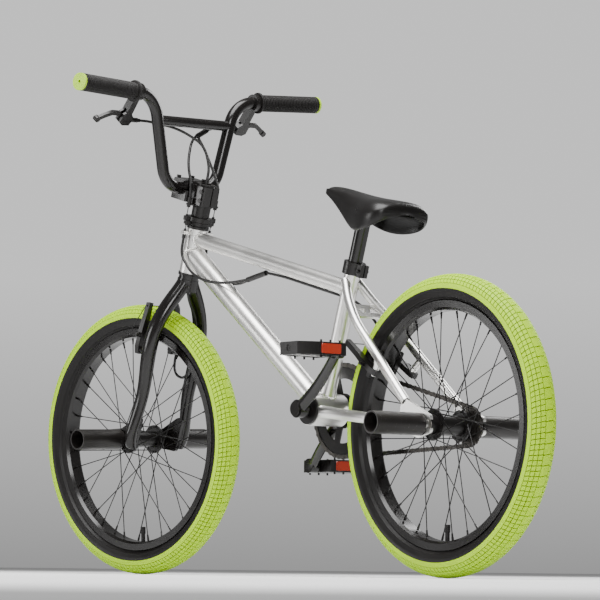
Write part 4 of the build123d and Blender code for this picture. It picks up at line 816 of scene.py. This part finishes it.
def weld_lines():
    """Each weld's line in millimetres of the bike's frame, keyed by name."""
    foot = joint_at("steering") / MM
    bracket = joint_at("crank_spin") / MM
    top_head = foot + steer_up * TOP_TUBE_UP_HEAD
    down_head = foot + steer_up * DOWN_TUBE_UP_HEAD
    top_seat = bracket + seat_up * ((TOP_TUBE_REAR_HEIGHT - bracket.z) / seat_up.z)
    top_run = (top_head - top_seat).normalized()
    down_run = (down_head - bracket).normalized()
    head = (foot, steer_up, HEAD_TUBE_RADIUS)
    seat = (bracket, seat_up, SEAT_TUBE_RADIUS)
    shell = (bracket, Y, BRACKET_RADIUS)
    return {
        "top_tube_head": saddle_cut(top_seat, top_run, TOP_TUBE_RADIUS, *head),
        "down_tube_head": saddle_cut(bracket, down_run, DOWN_TUBE_RADIUS, *head),
        "top_tube_seat": saddle_cut(top_head, -top_run, TOP_TUBE_RADIUS, *seat),
        "down_tube_bracket": saddle_cut(down_head, -down_run, DOWN_TUBE_RADIUS, *shell),
        "seat_tube_bracket": saddle_cut(top_seat, -seat_up, SEAT_TUBE_FOOT_RADIUS, *shell),
    }


def weld_ripple():
    """One ripple of a weld bead, laid along X."""
    draft = Draft()
    draft.lathe([(0, -1.5), (1.5, -1.1), (2.2, 0), (1.5, 1.1), (0, 1.5)], heading=(1, 0, 0), sides=8)
    return draft


# ---------------------------------------------------------------- pedals
REFLECTOR_DEPTHS = (38.8, 40.9)           # of a reflector's back and face, from the pedal's axle


# ---------------------------------------------------------------- stage
FLOOR_HALF = 30.0
CAMERA_PLACE = (-4.4924, 3.4227, 0.0115)
CAMERA_TURN = (37.516, 4.855, 0.633)      # yaw, pitch and roll in degrees
CAMERA_LENS = 190.63
WALL_FADE = (0.0, 0.09, 0.44, 1.02)       # from this heading to this one, the wall goes from dim to bright
LAMPS = (
    # name, place, aim, size, power
    ("overhead", (-0.3, 0.6, 2.7), (0, 0, 0.3), 2.0, 170),
    ("key", (-2.9, 2.2, 1.7), (0.0, 0, 0.45), 1.3, 78),
    ("fill", (1.9, 3.0, 1.0), (0.1, 0, 0.4), 1.2, 42),
    ("back", (0.8, -2.9, 2.0), (0, 0, 0.4), 1.6, 60),
)


# ---------------------------------------------------------------- settings
class BikeColours(bpy.types.PropertyGroup):
    silver: bpy.props.FloatVectorProperty(
        name="Frame silver", description="Colour of the polished frame tubes",
        subtype="COLOR", size=3, min=0, max=1, default=(0.80, 0.79, 0.765))
    lime: bpy.props.FloatVectorProperty(
        name="Tyre lime", description="Colour of the tread and bar plugs",
        subtype="COLOR", size=3, min=0, max=1, default=(0.36, 0.60, 0.001))
    black: bpy.props.FloatVectorProperty(
        name="Black", description="Base of every black paint, rubber and plastic",
        subtype="COLOR", size=3, min=0, max=1, default=(0.0048, 0.0041, 0.0038))


class BikeSizes(bpy.types.PropertyGroup):
    tread_pitches: bpy.props.IntProperty(
        name="Tread pitches", description="Repeats of the tread round a tyre", default=88, min=40, max=140)
    grip_ribs: bpy.props.IntProperty(
        name="Grip ribs", description="Raised rings along each grip", default=34, min=5, max=60)
    weld_spacing: bpy.props.FloatProperty(
        name="Weld ripple spacing", description="Distance between weld ripples",
        default=0.0016, min=0.0008, max=0.004, unit="LENGTH")


class StageSettings(bpy.types.PropertyGroup):
    floor_shade: bpy.props.FloatProperty(
        name="Floor shade", description="Lightness of the floor",
        default=0.86, min=0, max=1, subtype="FACTOR")
    sky_strength: bpy.props.FloatProperty(
        name="Room light", description="Strength of the even light all round", default=0.26, min=0, max=5)


# ---------------------------------------------------------------- operators
class BIKE_OT_stage(bpy.types.Operator):
    """Lay the floor, hang the lights and set up the camera"""
    bl_idname = "bike.stage"
    bl_label = "Stage"

    def execute(self, context):
        settings = context.scene.bike_stage
        floor_mesh = bpy.data.meshes.new("floor")
        half = FLOOR_HALF
        floor_mesh.from_pydata([(-half, -half, 0), (half, -half, 0), (half, half, 0), (-half, half, 0)], [],
                               [(0, 1, 2, 3)])
        floor = bpy.data.objects.new("floor", floor_mesh)
        context.scene.collection.objects.link(floor)
        shade_value = settings.floor_shade
        floor_mesh.materials.append(finish_of(
            "pale_floor", [shade_value * 0.97] * 3, [shade_value] * 3,
            roughness=(0.6, 0.7), bump=0.02, grain=40, tone=2, specular=0.3))
        world = bpy.data.worlds.new("room")
        world.use_nodes = True
        room = world.node_tree
        shine = room.nodes["Background"]
        shine.inputs["Color"].default_value = (1, 1, 1, 1)
        shine.inputs["Strength"].default_value = settings.sky_strength
        wall = room.nodes.new("ShaderNodeBackground")
        heading = room.nodes.new("ShaderNodeTexCoord")
        height = room.nodes.new("ShaderNodeSeparateXYZ")
        fade = room.nodes.new("ShaderNodeMapRange")
        for index, number in enumerate(WALL_FADE, 1):
            fade.inputs[index].default_value = number
        seen = room.nodes.new("ShaderNodeLightPath")
        either = room.nodes.new("ShaderNodeMixShader")
        room.links.new(heading.outputs["Generated"], height.inputs[0])
        room.links.new(height.outputs["Z"], fade.inputs[0])
        room.links.new(fade.outputs[0], wall.inputs["Strength"])
        room.links.new(seen.outputs["Is Camera Ray"], either.inputs[0])
        room.links.new(shine.outputs[0], either.inputs[1])
        room.links.new(wall.outputs[0], either.inputs[2])
        room.links.new(either.outputs[0], room.nodes["World Output"].inputs[0])
        context.scene.world = world
        for name, at, aim, size, power in LAMPS:
            light = bpy.data.lights.new(name, "AREA")
            light.size = size
            light.energy = power
            lamp = bpy.data.objects.new(name, light)
            lamp.location = at
            lamp.rotation_euler = (Vector(aim) - Vector(at)).to_track_quat("-Z", "Y").to_euler()
            context.scene.collection.objects.link(lamp)
        yaw, pitch, roll = (radians(angle) for angle in CAMERA_TURN)
        looking = Vector((cos(yaw) * cos(pitch), -sin(yaw) * cos(pitch), sin(pitch)))
        flat_right = Vector((-sin(yaw), -cos(yaw), 0))
        flat_up = flat_right.cross(looking)
        right = flat_right * cos(roll) + flat_up * sin(roll)
        up = flat_up * cos(roll) - flat_right * sin(roll)
        lens = bpy.data.cameras.new("camera")
        lens.sensor_width = 36.0
        lens.lens = CAMERA_LENS
        lens.clip_end = 200
        camera = bpy.data.objects.new("camera", lens)
        camera.matrix_world = Matrix.Translation(CAMERA_PLACE) @ Matrix(
            (right, up, -looking)).transposed().to_4x4()
        context.scene.collection.objects.link(camera)
        context.scene.camera = camera
        return {"FINISHED"}


class BIKE_OT_finishes(bpy.types.Operator):
    """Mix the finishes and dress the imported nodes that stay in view"""
    bl_idname = "bike.finishes"
    bl_label = "Finishes"

    def execute(self, context):
        make_finishes()
        dress_cad()
        return {"FINISHED"}


class BIKE_OT_tyres(bpy.types.Operator):
    """Mould both tyres: the casing with its bead, and the tread blocks round it"""
    bl_idname = "bike.tyres"
    bl_label = "Tyres"

    def execute(self, context):
        pitches = context.scene.bike_sizes.tread_pitches
        for wheel, to_bike in WHEELS.items():
            casing = Draft()
            add_carcass(casing)
            stand(casing.mesh(f"{wheel}_casing", to_bike), f"{wheel}_tyre_casing", f"{wheel}_wheel",
                  [FINISHES["tyre_black"], FINISHES["tyre_lime_groove_painted_shade"], FINISHES["tyre_lime"]],
                  [f"{wheel}_tyre"])
            tread = repeated(round_axle_tree, tread_pitch(pitches), to_bike, FINISHES["tyre_lime"],
                             Count=pitches)
            stand(tread, f"{wheel}_tyre_tread", f"{wheel}_wheel")
        return {"FINISHED"}


class BIKE_OT_spokes(bpy.types.Operator):
    """Lace both wheels"""
    bl_idname = "bike.spokes"
    bl_label = "Spokes"

    def execute(self, context):
        for wheel, to_bike in WHEELS.items():
            laced = repeated(round_axle_tree, spoke_set(FLANGES[wheel]), to_bike, FINISHES["spoke_black"],
                             Count=SETS_PER_WHEEL)
            stand(laced, f"{wheel}_laced_spokes", f"{wheel}_wheel",
                  replaces=[f"{wheel}_spokes"])
        return {"FINISHED"}


class BIKE_OT_chain(bpy.types.Operator):
    """Lay the chain's outer and inner links round both sprockets"""
    bl_idname = "bike.chain"
    bl_label = "Chain"

    def execute(self, context):
        points = chain_points()
        length = sum((Vector(b) - Vector(a)).length for a, b in zip(points, points[1:] + points[:1]))
        links = 2 * round(length / CHAIN_PITCH / 2)
        for first, name in ((0, "outer"), (1, "inner")):
            path = path_curve(points)
            made = repeated(along_path_tree, chain_link(first == 0), CRANK, FINISHES["oiled_chain"],
                            smooth=40, Path=path, Count=links, Step=2, First=first)
            drop_curve(path)
            stand(made, f"chain_{name}_links", "frame",
                  replaces=["chain"] if first == 0 else ())
        return {"FINISHED"}


class BIKE_OT_saddle(bpy.types.Operator):
    """Upholster the saddle"""
    bl_idname = "bike.saddle"
    bl_label = "Saddle"

    def execute(self, context):
        draft = Draft()
        draft.skin(saddle_rows(draft))
        cover = stand(draft.mesh("saddle", SADDLE, smooth=180), "saddle_cover", "saddle",
                      [FINISHES["saddle_cover"]], ["saddle_pad"])
        rounding = cover.modifiers.new("rounding", "SUBSURF")
        rounding.levels = rounding.render_levels = 3
        return {"FINISHED"}


class BIKE_OT_grips(bpy.types.Operator):
    """Mould the ribbed grips"""
    bl_idname = "bike.grips"
    bl_label = "Grips"

    def execute(self, context):
        ribs = context.scene.bike_sizes.grip_ribs
        for side, name in ((1, "left"), (-1, "right")):
            start, end = grip_point(GRIP_INNER - 4, side), grip_point(GRIP_OUTER, side)
            run = (end - start).normalized()
            length = (end - start).length
            body = Draft()
            body.lathe([(11.2, 0), (19.2, 0), (20, 0.8), (20, 3.2), (19.2, 4), (15.2, 5), (14.6, 6.5),
                        (14.6, length - 7), (15.9, length - 6), (15.9, length - 0.6), (15.4, length),
                        (11.2, length)], start, run, sides=48, closed=True)
            stand(body.mesh("grip", STEERING), f"grip_{name}_core", "steering",
                  [FINISHES["rubber_black"]], [f"grip_{name}"])
            rib = Draft()
            spacing = (length - 16) / ribs
            first = start + run * 7.5
            rib.lathe([(14.2, 0), (15.5, 0.35), (15.9, 0.9), (15.9, 1.8), (15.5, 2.3), (14.2, 2.7)],
                      first, run, sides=40, closed=True)
            rings = repeated(in_row_tree, rib, STEERING, FINISHES["rubber_black"], Count=ribs,
                             Spacing=tuple(run * spacing))
            stand(rings, f"grip_{name}_ribs", "steering")
        return {"FINISHED"}


class BIKE_OT_welds(bpy.types.Operator):
    """Run a rippled weld bead round each joint of the frame"""
    bl_idname = "bike.welds"
    bl_label = "Welds"

    def execute(self, context):
        spacing = context.scene.bike_sizes.weld_spacing / MM
        for name, points in weld_lines().items():
            length = sum((b - a).length for a, b in zip(points, points[1:] + points[:1]))
            path = path_curve(points)
            bead = repeated(along_path_tree, weld_ripple(), BIKE, FINISHES["weld_silver"], smooth=60,
                            Path=path, Count=round(length / spacing), Step=1, First=0)
            drop_curve(path)
            stand(bead, f"weld_{name}", "frame")
        return {"FINISHED"}


class BIKE_OT_pedals(bpy.types.Operator):
    """Fit the reflectors on the pedals' front and rear faces"""
    bl_idname = "bike.pedals"
    bl_label = "Pedals"

    def execute(self, context):
        for side, name in ((1, "left"), (-1, "right")):
            angle = CRANK_ANGLE if side > 0 else CRANK_ANGLE + pi
            eye = Vector((CRANK_LENGTH * cos(angle), side * PEDAL_FACE, CRANK_LENGTH * sin(angle)))
            lens = Draft()
            for end in (1, -1):
                lens.local = Matrix.Translation(eye) @ Matrix.Rotation(end * pi / 2, 4, "Y")
                outline = [(-7, side * 16), (7, side * 16), (8.5, side * 18), (8.5, side * 56),
                           (7, side * 58), (-7, side * 58), (-8.5, side * 56), (-8.5, side * 18)]
                lens.slab(outline, *REFLECTOR_DEPTHS, chamfer=0.6)
            stand(lens.mesh("reflector", CRANK), f"pedal_{name}_reflectors", f"pedal_{name}",
                  [FINISHES["reflector_red"]])
        return {"FINISHED"}


class BIKE_PT_pieces(bpy.types.Panel):
    """The bike's pieces and settings"""
    bl_label = "Freestyle bike"
    bl_space_type = "VIEW_3D"
    bl_region_type = "UI"
    bl_category = "Bike"

    def draw(self, context):
        scene = context.scene
        for group in (scene.bike_colours, scene.bike_sizes, scene.bike_stage):
            for label in group.__annotations__:
                self.layout.prop(group, label)
        for operator in OPERATORS:
            self.layout.operator(operator.bl_idname)


OPERATORS = (BIKE_OT_stage, BIKE_OT_finishes, BIKE_OT_tyres, BIKE_OT_spokes, BIKE_OT_chain, BIKE_OT_saddle,
             BIKE_OT_grips, BIKE_OT_welds, BIKE_OT_pedals)
SETTINGS = {"bike_colours": BikeColours, "bike_sizes": BikeSizes, "bike_stage": StageSettings}


def register():
    for kind in (*SETTINGS.values(), *OPERATORS, BIKE_PT_pieces):
        bpy.utils.register_class(kind)
    for name, kind in SETTINGS.items():
        setattr(bpy.types.Scene, name, bpy.props.PointerProperty(type=kind))


def unregister():
    for name in SETTINGS:
        delattr(bpy.types.Scene, name)
    for kind in reversed((*SETTINGS.values(), *OPERATORS, BIKE_PT_pieces)):
        bpy.utils.unregister_class(kind)


def main():
    register()
    bpy.ops.bike.finishes()
    for operator in OPERATORS:
        if operator is not BIKE_OT_finishes:
            getattr(bpy.ops.bike, operator.bl_idname.split(".")[1])()
    bpy.context.view_layer.update()


if __name__ == "__main__":
    main()
